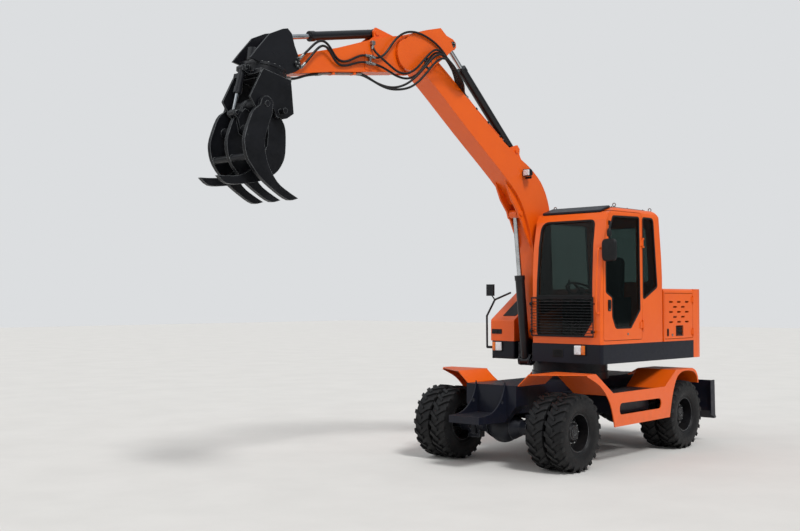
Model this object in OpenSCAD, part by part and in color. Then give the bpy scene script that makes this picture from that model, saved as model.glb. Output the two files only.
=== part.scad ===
// Wheeled excavator with a five-tine log grapple, a rear blade and twin tyres.
// X points forward, Y to the machine's left, Z up, in millimetres. It stands on Z = 0.

/* [Undercarriage] */
// Distance between the front and rear axles
wheelbase = 2550; // [2400:10:2800]
// Outer diameter of a tyre
tyre_d = 865; // [840:5:890]
// Width of a tyre
tyre_w = 226; // [200:2:230]
// Gap between the two tyres of a pair
twin_gap = 14; // [10:1:24]
// Width over the outer tyres
over_tyres = 2070; // [2060:5:2120]
// Lugs in one row round a tyre
lug_count = 22; // [16:1:28]
// Depth of the tyre lugs
lug_depth = 20; // [12:1:26]
// Diameter of the rim's barrel
rim_d = 440; // [420:5:460]
// Half width of the chassis box
frame_half = 320; // [290:5:330]
// Underside of the chassis box
frame_low = 520; // [510:5:560]
// Top of the chassis box
frame_top = 928; // [900:2:940]
// Height of the fender tops
fender_top = 1065; // [1050:5:1090]
// Height of the side bar between the fenders
bar_top = 824; // [800:2:850]
// Thickness of the fender sheets
fender_t = 12; // [6:1:16]
// Distance of the kingpin from the middle
kingpin_y = 450; // [440:2:460]
// Width of the rear blade
blade_w = 2070; // [1900:10:2100]
// Height of the rear blade
blade_h = 510; // [450:10:560]

/* [Upper structure] */
// Slew centre ahead of the middle between the axles
slew_x = -150; // [-200:5:-100]
// Slew angle in the stored pose
slew_rest = -2.9; // [-4:0.1:0]
// Half width of the upper structure
upper_half = 901; // [880:1:920]
// Underside of the dark belt
belt_low = 1145; // [1135:1:1160]
// Top of the dark belt
belt_top = 1372; // [1350:1:1390]
// Front of the belt under the cab
cab_front = 654; // [630:1:680]
// Front of the right-hand body
tank_front = 474; // [450:1:500]
// Front of the engine hood
hood_front = -750; // [-770:1:-746]
// Front of the counterweight
weight_front = -1505; // [-1540:1:-1490]
// Rear of the counterweight
weight_rear = -1830; // [-1860:1:-1800]
// Top of the engine hood
hood_top = 2039; // [2020:1:2060]
// Thickness of the hood's sheets
hood_t = 14; // [10:1:20]
// Outer radius of the slew ring
ring_r = 480; // [460:5:500]

/* [Cab] */
// Right face of the cab
cab_right = -111; // [-120:1:-105]
// Thickness of the cab's walls and its door
cab_wall = 46; // [40:1:55]
// Thickness of the glass
glass_t = 6; // [5:1:8]
// Gap round the door and the lids
door_gap = 6; // [5:1:9]

/* [Boom and arm] */
// Middle of the boom in the upper structure
boom_y = -317; // [-319:1:-315]
// Width of the boom
boom_w = 250; // [240:2:260]
// Thickness of the bracket plates
bracket_t = 28; // [22:1:32]
// Radius of the main pins
pin_r = 32; // [28:1:36]
// Running clearance at pins and rods
pin_gap = 0.3; // [0.2:0.05:0.4]
// Width of the arm
arm_w = 240; // [230:2:250]
// Radius of the boom cylinder's barrel
boom_cyl_r = 58; // [50:1:64]
// Radius of the arm cylinder's barrel
arm_cyl_r = 52; // [46:1:58]
// Radius of the tilt cylinder's barrel
tilt_cyl_r = 47; // [42:1:52]

/* [Grapple] */
// Lean of the grapple from upright
grapple_lean = 11; // [6:1:14]
// Radius of the rotator
rotator_r = 215; // [200:5:230]
// Spacing of the tines along their hinge
tine_pitch = 270; // [256:2:284]
// Thickness of a tine
tine_t = 42; // [34:2:48]
// Distance of each jaw hinge from the middle
jaw_hinge_s = 110; // [104:2:116]
// Depth of the jaw hinges below the rotator
jaw_hinge_w = 390; // [380:2:400]

/* [Hidden] */
$fn = 48;
eps = 0.01;
// Shift of the model, so that its origin is at the middle of its own outline
origin_x = 1514;
origin_y = 0;

// Derived places in the undercarriage
axle_x = wheelbase / 2;
axle_z = tyre_d / 2;
outer_y = over_tyres / 2 - tyre_w / 2;
inner_y = outer_y - tyre_w - twin_gap;
side_y = over_tyres / 2 + 1;
spindle_r = 60;
disc_y = (outer_y + inner_y) / 2;
plate_x = 1540;
front_half = 350;
deck_z = bar_top - 24;

// Pins of the boom, arm and head in the upper structure, as [forward, up]
boom_foot = [200, 1480];
boom_base = [500, 1134];
boom_eye = [712, 2968];
arm_pin = [2480, 4540];
arm_base = [780, 3745];
arm_eye = [1982, 4853];
head_pin = [4390, 4225];
tilt_base = [3200, 4770];
tilt_eye = [4500, 4495];
grapple_at = [4683, 4113];
// Pins of the blade and its cylinder, as [forward, up]
blade_pin = [-1330, 640];
blade_base = [-1500, 880];
blade_eye = [-1965, 690];

// Cylinders' barrel and rod lengths, measured from their pins
boom_barrel_l = 1075;
boom_rod_l = 1235;
arm_barrel_l = 1300;
arm_rod_l = 1450;
tilt_barrel_l = 915;
tilt_rod_l = 1020;
blade_barrel_l = 395;
blade_rod_l = 405;
jaw_top = [250, 40];
jaw_lug = [270, 500];
jaw_barrel_l = 260;
jaw_rod_l = 258;
// Room beside a cylinder's eye
eye_gap = 1.5;
blade_cyl_r = 40;
jaw_cyl_r = 34;
// How much further closed the two-tine jaw stands
jaw_two_turn = 6;

// Colours
orange = "#E2561B";
dark = "#23262E";
black = "#1B1C1F";
rubber = "#2A2A2C";
chrome = "#C9CCD0";
tinted = "#2F3A3C";

// Bodies' places
module on_chassis() translate([-origin_x, -origin_y, 0]) children();
module on_upper() on_chassis() translate([slew_x, 0, 0]) rotate([0, 0, slew_rest]) children();
module on_boom_plane() on_upper() translate([0, boom_y, 0]) children();
module on_grapple()
    on_boom_plane() translate([grapple_at[0], 0, grapple_at[1]]) rotate([0, -grapple_lean, 0]) children();

// Extrudes an outline drawn as [forward, up] to both sides of the plane
module side_plate(w, y = 0) translate([0, y + w / 2, 0]) rotate([90, 0, 0]) linear_extrude(w) children();
// A cylinder across the machine, centred on a pin
module cross_pin(at, r, w, y = 0) translate([at[0], y, at[1]]) rotate([90, 0, 0])
    cylinder(r = r, h = w, center = true);
// A box from its low corner to its high corner
module block(low, high) translate(low) cube(high - low);
module mirrored() { children(); mirror([0, 1, 0]) children(); }

// Points on a circle's arc
function arc(c, r, a0, a1, n = 6) = [for (i = [0:n]) let (a = a0 + (a1 - a0) * i / n)
    [c[0] + r * cos(a), c[1] + r * sin(a)]];
// A smooth curve through points, with n steps between each two
function smooth(p, n = 4) = [for (i = [0:len(p) - 2], k = [0:n - 1]) let (
    a = p[max(i - 1, 0)], b = p[i], c = p[i + 1], d = p[min(i + 2, len(p) - 1)], t = k / n)
    0.5 * (2 * b + t * (c - a) + t * t * (2 * a - 5 * b + 4 * c - d) + t * t * t * (3 * b - a - 3 * c + d)),
    p[len(p) - 1]];
// Each corner is [x, y, radius], and comes back as a short arc
function unit(v) = v / norm(v);
function fillet(p, n = 4) = [for (i = [0:len(p) - 1]) let (
    q = [p[i][0], p[i][1]], r = p[i][2],
    a = unit([p[(i + len(p) - 1) % len(p)][0], p[(i + len(p) - 1) % len(p)][1]] - q),
    b = unit([p[(i + 1) % len(p)][0], p[(i + 1) % len(p)][1]] - q),
    half = acos(max(-1, min(1, a * b))) / 2, m = unit(a + b), c = q + m * r / sin(half),
    t = r / tan(half), a0 = atan2((q + a * t - c)[1], (q + a * t - c)[0]),
    turn = atan2((q + b * t - c)[1], (q + b * t - c)[0]) - a0,
    sweep = turn > 180 ? turn - 360 : turn < -180 ? turn + 360 : turn)
    each r == 0 ? [q] : [for (k = [0:n]) c + r * [cos(a0 + sweep * k / n), sin(a0 + sweep * k / n)]]];
// Moves each edge of an outline inwards, for an outline that runs clockwise as seen
function inset(p, t) = [for (i = [0:len(p) - 1]) let (
    q = p[i], a = p[(i + len(p) - 1) % len(p)], b = p[(i + 1) % len(p)],
    u = unit(q - a), v = unit(b - q), nu = [u[1], -u[0]], nv = [v[1], -v[0]], k = 1 + nu * nv)
    q + t * (nu + nv) / k];

// A cylinder's barrel from its base pin, with its bore, and a rod to its eye. The eyes are as wide
// as the barrel, and the rod's eye has no pin through it, because its linkage is opened there.
module barrel(base, eye, r, rod_r, l, pin) {
    a = atan2(eye[1] - base[1], eye[0] - base[0]);
    translate([base[0], 0, base[1]]) rotate([0, 90 - a, 0]) difference() {
        union() {
            translate([0, 0, pin * 1.2]) cylinder(r = r, h = l - pin * 1.2);
            translate([0, 0, l - 60]) cylinder(r = r + 7, h = 60);
            rotate([90, 0, 0]) cylinder(r = pin * 1.7, h = 2 * r - 2, center = true);
        }
        rotate([90, 0, 0]) cylinder(r = pin + pin_gap, h = 4 * r, center = true);
        translate([0, 0, pin * 1.7 + 6]) cylinder(r = rod_r + pin_gap, h = l);
    }
}
module rod(base, eye, r, rod_r, l, pin) {
    a = atan2(eye[1] - base[1], eye[0] - base[0]);
    translate([eye[0], 0, eye[1]]) rotate([0, 90 - a, 0]) {
        translate([0, 0, -l]) cylinder(r = rod_r, h = l - pin);
        rotate([90, 0, 0]) cylinder(r = pin * 1.7, h = 2 * r - 2, center = true);
    }
}
// Two plates beside a cylinder's eye, with the ends of their pin
module ears(r, t, at, pin, p) for (s = [-1, 1]) {
    side_plate(t, s * (r + eye_gap + t / 2)) polygon(p);
    cross_pin(at, pin, t + 12, s * (r + eye_gap + t / 2 + 6));
}

// Chassis, with its front box, step, gussets, decks and the fixed half of the slew ring
module chassis_frame() on_chassis() color(dark) {
    difference() {
        union() {
            side_plate(2 * frame_half) polygon([[-1560, frame_low + 60], [-1480, frame_low], [1380, frame_low],
                [1380, frame_top], [-1480, frame_top], [-1560, frame_top - 60]]);
            // Front box with its chamfered lower corners
            translate([plate_x, 0, 0]) rotate([90, 0, -90]) linear_extrude(240) polygon([
                [-front_half, 700], [-190, frame_low - 10], [190, frame_low - 10], [front_half, 700],
                [front_half, frame_top + 2], [-front_half, frame_top + 2]]);
            // Side decks on outriggers
            mirrored() block([-640, frame_half - 2, deck_z - 14], [560, side_y - fender_t, deck_z]);
            mirrored() block([-480, frame_half - 2, 560], [330, side_y - fender_t - 110, deck_z - 13]);
            translate([slew_x, 0, frame_top - 10]) cylinder(r = ring_r, h = 90, $fn = 96);
        }
        // Steering and axle room
        translate([axle_x, 0, 0]) block([-170, -frame_half - 50, frame_low - 60],
            [170, frame_half + 50, frame_low + 90]);
        translate([-axle_x, 0, 0]) block([-150, -frame_half - 50, frame_low - 60],
            [150, frame_half + 50, frame_low + 60]);
        translate([slew_x, 0, frame_top - 60]) cylinder(r = 250, h = 200, $fn = 64);
        // Room for the axles' middle housings and for the blade's cylinder
        for (x = [-axle_x, axle_x]) translate([x, 0, axle_z]) sphere(r = 192);
        side_plate(2 * (blade_cyl_r + eye_gap)) polygon([[-1445, 940], [-1445, 830], [-1480, 800], [-1620, 700],
            [-1620, 940]]);
        // Slots for the blade's arms
        mirrored() block([-1700, 236, 480], [-1240, frame_half + 20, 760]);
    }
    // Blade pins
    mirrored() cross_pin(blade_pin, 26, 90, 270);
    // Blade cylinder bracket
    ears(blade_cyl_r, 20, blade_base, 22, [[-1480, 800], [-1530, 830], [-1540, 880], [-1500, 915],
        [-1470, 915]]);
    cross_pin(blade_base, 22, 104);
    // Step tray
    step();
}
module step() {
    tray_front = 2050;
    tray_half = 210;
    tray_top = 608;
    difference() {
        side_plate(2 * tray_half) polygon([[plate_x - 5, 515], [tray_front, 528], [tray_front, tray_top],
            [plate_x - 5, tray_top]]);
        side_plate(2 * tray_half - 24) polygon([[plate_x + 12, 500], [tray_front - 12, 500],
            [tray_front - 12, tray_top - 10], [plate_x + 12, tray_top - 10]]);
    }
    for (s = [-1, 1]) side_plate(14, s * (tray_half - 7)) difference() {
        polygon(concat([[plate_x - 4, frame_top - 20], [plate_x - 4, tray_top - 4], [1935, tray_top - 4]],
            arc([1950, 1010], 400, -92, -174, 8)));
        translate([1615, 750]) circle(r = 24);
    }
}

// One side's fender covers and skirt, for the left side
FENDER_FRONT = 1510;
LIP_OUTER = [[-1442, fender_top - 48], [-1530, 985], [-1592, 910], [-1612, 820]];
LIP_INNER = [[-1600, 820], [-1580, 905], [-1522, 974], [-1442, fender_top - 60]];
REAR_ARCH = [[-1588, 820], [-1570, 890], [-1515, 950], [-1400, 985], [-1150, 985], [-990, 900], [-880, 700],
    [-805, 438]];
FRONT_ARCH = [[553, 433], [618, 638], [706, 781], [881, 928], [1138, 1038]];
module fender() color(orange) {
    top = fender_top;
    in_y = 495;
    // Outer skirt with its arches and slot
    side_plate(fender_t, side_y - fender_t / 2) difference() {
        polygon(concat([[1127, top], [966, top], [582, bar_top], [-679, bar_top], [-985, top - 48]],
            smooth(LIP_OUTER, 3), smooth(REAR_ARCH, 3), smooth(FRONT_ARCH, 3)));
        polygon(fillet([[440, 566, 50], [440, 700, 60], [-580, 690, 55], [-580, 566, 55]], 6));
    }
    // Front top sheet, its rear slope and its inner slope
    block_top = [[FENDER_FRONT, in_y], [1127, side_y - 1], [966, side_y - 1], [940, in_y]];
    translate([0, 0, top - fender_t]) linear_extrude(fender_t) polygon(block_top);
    slope([972, top], [560, deck_z], in_y + 1, side_y - fender_t + 1);
    inner_slope(952, FENDER_FRONT - 2, top, frame_top + 6);
    // Rear top sheet, its front slope and its inner slope
    rear_top = top - 48;
    block([-1442, in_y, rear_top - fender_t], [-985, side_y - 1, rear_top]);
    slope([-990, rear_top], [-690, deck_z], in_y, side_y - fender_t + 1);
    side_plate(side_y - fender_t + 1 - in_y, (side_y - fender_t + 1 + in_y) / 2)
        polygon(concat(smooth(LIP_OUTER, 3), smooth(LIP_INNER, 3)));
    inner_slope(-1442, -985, rear_top, frame_top + 6);
}
// A sheet that slopes between two [forward, up] points
module slope(a, b, y0, y1) {
    side_plate(y1 - y0, (y0 + y1) / 2) polygon([a, b, b + [0, -fender_t], a + [0, -fender_t]]);
}
// The sheet that rises from the chassis box to the fender's top
module inner_slope(x0, x1, top, low) translate([x1, 0, 0]) rotate([90, 0, -90]) linear_extrude(x1 - x0)
    polygon([[-front_half - 0.3, low], [-496, top], [-496, top - fender_t - 2],
        [-front_half - 0.3, low - fender_t - 2]]);
module fender_left() on_chassis() fender();
module fender_right() on_chassis() mirror([0, 1, 0]) fender();

// Front steering axle with its yokes
module front_axle() on_chassis() color(dark) translate([axle_x, 0, axle_z]) {
    difference() {
        union() {
            sphere(r = 188, $fn = 40);
            rotate([90, 0, 0]) cylinder(r = 84, h = 2 * kingpin_y - 200, center = true);
            mirrored() translate([0, 150, 0]) rotate([-90, 0, 0]) cylinder(r1 = 140, r2 = 84, h = 110);
            mirrored() for (s = [-1, 1]) {
                block([-52, 330, s > 0 ? 118 : -154], [52, kingpin_y + 44, s > 0 ? 154 : -118]);
                block([-52, 326, s > 0 ? 40 : -154], [52, 352, s > 0 ? 154 : -40]);
            }
            // Saddle up to the chassis
            block([-120, -150, 80], [120, 150, frame_low + 90 - axle_z]);
        }
        mirrored() translate([0, kingpin_y, 0]) cylinder(r = 28 + pin_gap, h = 400, center = true);
        mirrored() translate([0, kingpin_y, 0]) cylinder(r = 70, h = 234, center = true);
    }
}
// Knuckle, for the left side
module knuckle() color(dark) translate([axle_x, kingpin_y, axle_z]) {
    cylinder(r = 28, h = 330, center = true);
    cylinder(r = 62, h = 224, center = true);
    rotate([-90, 0, 0]) cylinder(r = spindle_r, h = disc_y + 34 - kingpin_y);
    rotate([-90, 0, 0]) cylinder(r = 92, h = 140);
    block([-190, -20, -112], [-40, 20, -88]);
}
module knuckle_left() on_chassis() knuckle();
module knuckle_right() on_chassis() mirror([0, 1, 0]) knuckle();

// Rear axle with its spindles
module rear_axle() on_chassis() color(dark) translate([-axle_x, 0, axle_z]) {
    sphere(r = 182, $fn = 40);
    rotate([90, 0, 0]) cylinder(r = 86, h = 1040, center = true);
    mirrored() translate([0, 140, 0]) rotate([-90, 0, 0]) cylinder(r1 = 140, r2 = 86, h = 120);
    rotate([90, 0, 0]) cylinder(r = spindle_r, h = 2 * (disc_y + 34), center = true);
    mirrored() block([-70, 100, 60], [70, 230, frame_low + 60 - axle_z]);
}

// Gearbox and propeller shafts
module drive_line() on_chassis() color(black) {
    block([-330, -150, 360], [120, 150, frame_low - 0.2]);
    translate([axle_x - 188.3, 0, axle_z]) rotate([0, -90, 0]) cylinder(r = 34, h = axle_x - 188.3 - 110);
    translate([-axle_x + 182.3, 0, axle_z]) rotate([0, 90, 0]) cylinder(r = 34, h = axle_x - 182.3 - 320);
}

// Two tyres of a pair, turned round the axle
module tyres(x, side) on_chassis() color(rubber)
    for (y = [inner_y, outer_y]) translate([x, side * y, axle_z]) rotate_extrude_tyre();
module rotate_extrude_tyre() rotate([90, 0, 0]) {
    r = tyre_d / 2;
    h = tyre_w / 2;
    bead = rim_d / 2;
    rotate_extrude($fn = 64) polygon([[bead, -h + 38], [bead + 18, -h + 6], [bead + 90, -h], [r - 60, -h + 3],
        [r - 16, -h + 22], [r, -h + 56], [r, h - 56], [r - 16, h - 22], [r - 60, h - 3],
        [bead + 90, h], [bead + 18, h - 6], [bead, h - 38]]);
}
module tyres_front_left() tyres(axle_x, 1);
module tyres_front_right() tyres(axle_x, -1);
module tyres_rear_left() tyres(-axle_x, 1);
module tyres_rear_right() tyres(-axle_x, -1);

// Two rims on their hub, for the left side
module rims(x, side) on_chassis() color(black) translate([x, 0, axle_z]) mirror([0, side > 0 ? 0 : 1, 0]) {
    rr = rim_d / 2;
    difference() {
        union() {
            for (y = [inner_y, outer_y]) translate([0, y, 0]) rotate([90, 0, 0])
                difference() {
                    cylinder(r = rr, h = tyre_w - 76, center = true, $fn = 64);
                    cylinder(r = rr - 16, h = tyre_w, center = true, $fn = 64);
                }
            translate([0, disc_y, 0]) rotate([90, 0, 0]) cylinder(r = rr, h = 2 * 41 + twin_gap, center = true, $fn = 64);
            translate([0, disc_y + 44, 0]) rotate([-90, 0, 0]) cylinder(r = 128, h = 70);
            translate([0, disc_y + 114, 0]) rotate([-90, 0, 0]) cylinder(r1 = 110, r2 = 80, h = 26);
        }
        translate([0, disc_y + 40, 0]) rotate([90, 0, 0]) cylinder(r = spindle_r + pin_gap, h = 400);
        // Hand holes
        for (i = [0:5]) rotate([0, i * 60, 0]) translate([165, disc_y, 0]) rotate([90, 0, 0])
            cylinder(r = 22, h = 200, center = true);
    }
}
module rims_front_left() rims(axle_x, 1);
module rims_front_right() rims(axle_x, -1);
module rims_rear_left() rims(-axle_x, 1);
module rims_rear_right() rims(-axle_x, -1);

// Rear blade with its arms
module blade() on_chassis() color(dark) difference() {
    union() {
        side_plate(blade_w) polygon(concat(arc([-2520, 600], 470, -36, 26, 8),
            [[-2020, 827], [-2010, 420], [-2080, 316]]));
        mirrored() side_plate(14, blade_w / 2 - 7) polygon([[-2114, 316], [-1990, 380], [-1975, 827], [-2098, 827]]);
        mirrored() side_plate(56, 278) polygon([[-2040, 380], [-2020, 600], [-1700, 660], [-1340, 690],
            [-1290, 660], [-1290, 610], [-1340, 590], [-1720, 540], [-1950, 400]]);
        ears(blade_cyl_r, 20, blade_eye, 22, [[-2050, 560], [-2050, 800], [-1990, 740],
            [-1935, 715], [-1930, 665], [-1980, 640]]);
    }
    cross_pin(blade_pin, 26 + pin_gap, 800);
}
module blade_barrel() on_chassis() color(black) barrel(blade_base, blade_eye, blade_cyl_r, 20, blade_barrel_l, 22);
module blade_rod() on_chassis() color(chrome) rod(blade_base, blade_eye, blade_cyl_r, 20, blade_rod_l, 22);

// Upper frame with the turning half of the slew ring and the boom's brackets
module upper_frame() on_upper() color(dark) {
    ring_low = frame_top + 80 + pin_gap;
    difference() {
        union() {
            translate([0, 0, ring_low]) cylinder(r = ring_r - 14, h = belt_low - ring_low + 10, $fn = 96);
            block([weight_front + 10, -upper_half + 20, belt_low], [400, upper_half - 20, belt_low + 24]);
            block([390, -upper_half + 20, belt_low], [tank_front - 20, -535, belt_low + 24]);
            block([390, cab_right + 10, belt_low], [cab_front - 20, upper_half - 20, belt_low + 24]);
            // Longitudinal webs beside the boom
            for (s = [-1, 1]) side_plate(bracket_t, boom_y + s * (boom_w / 2 + 8 + bracket_t / 2)) polygon([
                [weight_front + 10, belt_low], [weight_front + 10, belt_top - 10], [-300, belt_top - 10],
                [60, 1540], [120, 1572], [270, 1572], [330, 1500], [440, belt_top - 20], [440, belt_low]]);
            // Bracket of the boom cylinder
            translate([0, boom_y, 0]) {
                ears(boom_cyl_r, bracket_t, boom_base, pin_r, [[260, belt_low + 4], [260, 1230], [400, 1240],
                    [520, 1215], [560, 1150], [545, 1092], [500, 1078], [455, 1090], [400, belt_low + 4]]);
                block([260, -150, belt_low], [415, 150, belt_low + 50]);
                cross_pin(boom_foot, pin_r, boom_w + 2 * bracket_t + 40);
                cross_pin(boom_base, pin_r, 200);
            }
            // Rear cross wall that carries the counterweight
            block([weight_front + 10, -598, belt_low], [weight_front + 40, 598, belt_top - 4]);
        }
        translate([0, 0, frame_top]) cylinder(r = 250, h = 400, $fn = 64);
    }
}
// Dark belt round the upper frame
module belt() on_upper() color(dark) difference() {
    union() {
        linear_between(belt_low, belt_top - 0.3, fillet([[weight_front + 4, upper_half, 0],
            [weight_front + 4, cab_right, 0], [cab_front, cab_right, 20], [cab_front, upper_half, 40]]));
        linear_between(belt_low, belt_top - 0.3, fillet([[weight_front + 4, -upper_half, 0],
            [tank_front, -upper_half, 40], [tank_front, -523, 20], [weight_front + 4, -523, 0]]));
    }
    block([weight_front - 10, -upper_half + 20, belt_low - 10], [cab_front - 20, upper_half - 20, belt_low + 24.3]);
    block([weight_front - 10, cab_right + 20, belt_low + 24], [cab_front - 20, upper_half - 20, belt_top - 12]);
    block([weight_front - 10, -upper_half + 20, belt_low + 24], [tank_front - 20, -543, belt_top - 12]);
    block([weight_front - 10, -600, belt_low - 10], [-700, 600, belt_top + 10]);
}
module linear_between(z0, z1, p) translate([0, 0, z0]) linear_extrude(z1 - z0) polygon(p);

// Counterweight with rounded rear corners
module counterweight() on_upper() color(orange) difference() {
    intersection() {
        linear_between(belt_low, hood_top, fillet([[weight_front, -upper_half, 0], [weight_rear, -upper_half, 220],
            [weight_rear, upper_half, 220], [weight_front, upper_half, 0]], 6));
        side_plate(3000) polygon(fillet([[weight_front, belt_low, 0], [weight_front, hood_top, 0],
            [weight_rear, hood_top, 90], [weight_rear, belt_low, 30]], 5));
    }
    // Lifting sockets on top
    for (s = [-1, 1]) translate([-1665, s * 520, hood_top - 120]) cylinder(r = 26, h = 200);
}

// Engine hood, open at its top for the lid and on its left for the door
lid_x0 = -1440;
lid_x1 = -820;
lid_half = 560;
door_x0 = -1480;
door_x1 = -772;
door_z0 = 1400;
door_z1 = 1985;
module engine_hood() on_upper() color(orange) {
    hood_shell();
    hood_hinges();
}
module hood_shell() difference() {
    hood_outer();
    block([weight_front + hood_t, -upper_half + hood_t, belt_top - 1], [hood_front - hood_t,
        upper_half - hood_t, hood_top - hood_t]);
    block([lid_x0, -lid_half, hood_top - 100], [lid_x1, lid_half, hood_top + 100]);
    block([door_x0, upper_half - 100, door_z0], [door_x1, upper_half + 100, door_z1]);
    // Room for the lid's hinge barrels
    for (s = [-1, 1]) cross_pin(LID_HINGE, 14, 92, s * 400);
}
// Hinge pins of the lid and the side door, with the ears that hold them
module hood_hinges() {
    for (s = [-1, 1]) {
        cross_pin(LID_HINGE, 6, 130, s * 400);
        for (t = [-1, 1]) block([LID_HINGE[0] - 2, s * 400 + t * 55 - 9, hood_top - 4],
            [LID_HINGE[0] + 14, s * 400 + t * 55 + 9, hood_top + 18]);
    }
    for (z = [1480, 1900]) {
        translate([DOOR_HINGE[0], DOOR_HINGE[1], z]) cylinder(r = 6, h = 100, center = true);
        for (t = [-1, 1]) block([DOOR_HINGE[0] - 14, upper_half - 4, z + t * 42 - 8],
            [DOOR_HINGE[0] + 4, upper_half + 16, z + t * 42 + 8]);
    }
}
module hood_outer() translate([0, 0, belt_top]) intersection() {
    block([weight_front + 0.3, -upper_half, 0], [hood_front, upper_half, hood_top - belt_top]);
    translate([weight_front, 0, 0]) rotate([90, 0, 90]) linear_extrude(hood_front - weight_front) polygon(fillet([
        [-upper_half, 0, 0], [upper_half, 0, 0], [upper_half, hood_top - belt_top, 40],
        [-upper_half, hood_top - belt_top, 40]]));
}
module engine_lid() on_upper() color(orange) difference() {
    union() {
        block([lid_x0 + door_gap, -lid_half + door_gap, hood_top - hood_t],
            [lid_x1 - door_gap, lid_half - door_gap, hood_top]);
        for (s = [-1, 1]) cross_pin(LID_HINGE, 12, 90, s * 400);
        for (s = [-1, 1]) block([LID_HINGE[0] - 40, s * 400 - 45, hood_top - 1],
            [LID_HINGE[0], s * 400 + 45, hood_top + 5]);
    }
    cross_pin(LID_HINGE, 6 + pin_gap, 2000);
}
LID_HINGE = [lid_x1 + 4, hood_top + 8];
module side_door() on_upper() color(orange) difference() {
    union() {
        block([door_x0 + door_gap, upper_half - hood_t, door_z0 + door_gap],
            [door_x1 - door_gap, upper_half, door_z1 - door_gap]);
        for (z = [1480, 1900]) {
            translate([DOOR_HINGE[0], DOOR_HINGE[1], z]) cylinder(r = 9, h = 66, center = true);
            block([DOOR_HINGE[0], upper_half + 1, z - 33], [DOOR_HINGE[0] + 34, upper_half + 8, z + 33]);
            block([DOOR_HINGE[0] + 8, upper_half - 4, z - 33], [DOOR_HINGE[0] + 34, upper_half + 8, z + 33]);
        }
    }
    for (z = [1480, 1900]) translate([DOOR_HINGE[0], DOOR_HINGE[1], z])
        cylinder(r = 6 + pin_gap, h = 200, center = true);
    vents();
}
DOOR_HINGE = [door_x0, upper_half + 10];
// Vent slots in rows of three and two, and the square grille below them
module vents() {
    for (row = [0:4], i = [0:(row % 2 == 0 ? 2 : 1)])
        translate([-932 - 201 * (i + (row % 2) / 2), upper_half, 1871 - 64 * row])
            cube([92, 60, 20], center = true);
    block([-1222, upper_half - 60, 1445], [-1060, upper_half + 20, 1560]);
}
module engine_block() on_upper() color("#5A5D61") block([-1420, -150, belt_low + 24.3], [-820, 560, 1880]);

// Right-hand body with its sloping front, and the low cover behind the boom
module tank_body() on_upper() color(orange) {
    side_plate(upper_half - 523, -(upper_half + 523) / 2) polygon(fillet([[tank_front, belt_top, 0],
        [hood_front + 6, belt_top, 0], [hood_front + 6, hood_top, 0], [-130, hood_top, 60],
        [tank_front, 1640, 30]]));
    block([hood_front + 6, -523.2, belt_top], [-330, cab_right - 16, 1720]);
}

// Cab
CAB = [[cab_front, belt_top], [-735, belt_top], [-735, 2060], [-690, 2500], [-640, 2930], [-560, 3010],
    [260, 3010], [500, 2935], [540, 2850], [600, 2550], [640, 2150], [cab_front, 1870]];
module cab_solid(t) intersection() {
    side_plate(3000) polygon(inset(CAB, t));
    linear_between(0, 4000, fillet([[cab_front + 20 - t, cab_right + t, 70 - t / 2], [cab_front + 20 - t, upper_half - t, 70 - t / 2],
        [-760 + t, upper_half - t, 60 - t / 2], [-760 + t, cab_right + t, 60 - t / 2]]));
    translate([-1000, 0, 0]) rotate([90, 0, 90]) linear_extrude(2000) polygon(fillet([
        [cab_right + t, 1000, 0], [upper_half - t, 1000, 0], [upper_half - t, 3010 - t, 80 - t / 2],
        [cab_right + t, 3010 - t, 80 - t / 2]]));
}
module cab_shell(t0, t1) difference() {
    cab_solid(t0);
    cab_solid(t1);
}
// Outlines of the door and the windows, as [forward, up, corner radius]
DOOR = [[606, 1420, 30], [606, 2400, 90], [500, 2860, 60], [440, 2955, 30], [-235, 2960, 40], [-235, 1420, 30]];
DOOR_WINDOW = [[552, 1990, 40], [552, 2360, 120], [460, 2740, 60], [405, 2890, 40], [-172, 2905, 30],
    [-188, 1775, 50], [20, 1565, 40], [350, 1565, 60], [418, 1700, 60], [425, 1930, 40]];
REAR_WINDOW = [[-268, 1905, 30], [-262, 2905, 30], [-500, 2905, 60], [-590, 2060, 40]];
FRONT_WINDOW = [[-20, 1470, 60], [-20, 2840, 110], [735, 2840, 60], [765, 1650, 60], [640, 1470, 60]];
BACK_WINDOW = [[60, 2120, 50], [60, 2820, 50], [730, 2820, 50], [730, 2120, 50]];
module outline_left(p) translate([0, upper_half - 150, 0]) rotate([90, 0, 0]) translate([0, 0, -300])
    linear_extrude(300) polygon(fillet(p));
module outline_right(p) translate([0, cab_right + 150, 0]) rotate([90, 0, 0])
    linear_extrude(300) polygon(fillet(p));
module outline_front(p) translate([300, 0, 0]) rotate([90, 0, 90]) linear_extrude(600) polygon(fillet(p));
module outline_back(p) translate([-900, 0, 0]) rotate([90, 0, 90]) linear_extrude(400) polygon(fillet(p));
RIGHT_WINDOW = [[540, 1700, 60], [520, 2400, 60], [400, 2860, 60], [-520, 2860, 60], [-600, 1960, 60]];
module cab_openings() {
    outline_left(REAR_WINDOW);
    outline_front(FRONT_WINDOW);
    outline_back(BACK_WINDOW);
    outline_right(RIGHT_WINDOW);
}
function grow(p, t) = let (n = inset([for (q = p) [q[0], q[1]]], -t)) [for (i = [0:len(p) - 1]) [n[i][0], n[i][1], p[i][2] + t]];
module cab_frame() on_upper() color(orange) {
    difference() {
        cab_shell(0, cab_wall);
        cab_openings();
        outline_left(grow_ccw(DOOR, door_gap));
    }
    for (z = CAB_HINGES) {
        translate([CAB_HINGE[0], CAB_HINGE[1], z]) cylinder(r = 7, h = 120, center = true);
        for (t = [-1, 1]) block([CAB_HINGE[0] - 24, upper_half - 8, z + t * 50 - 9],
            [CAB_HINGE[0] + 2, upper_half + 20, z + t * 50 + 9]);
    }
}
CAB_HINGE = [-243, upper_half + 11];
CAB_HINGES = [1591, 2597];
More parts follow.
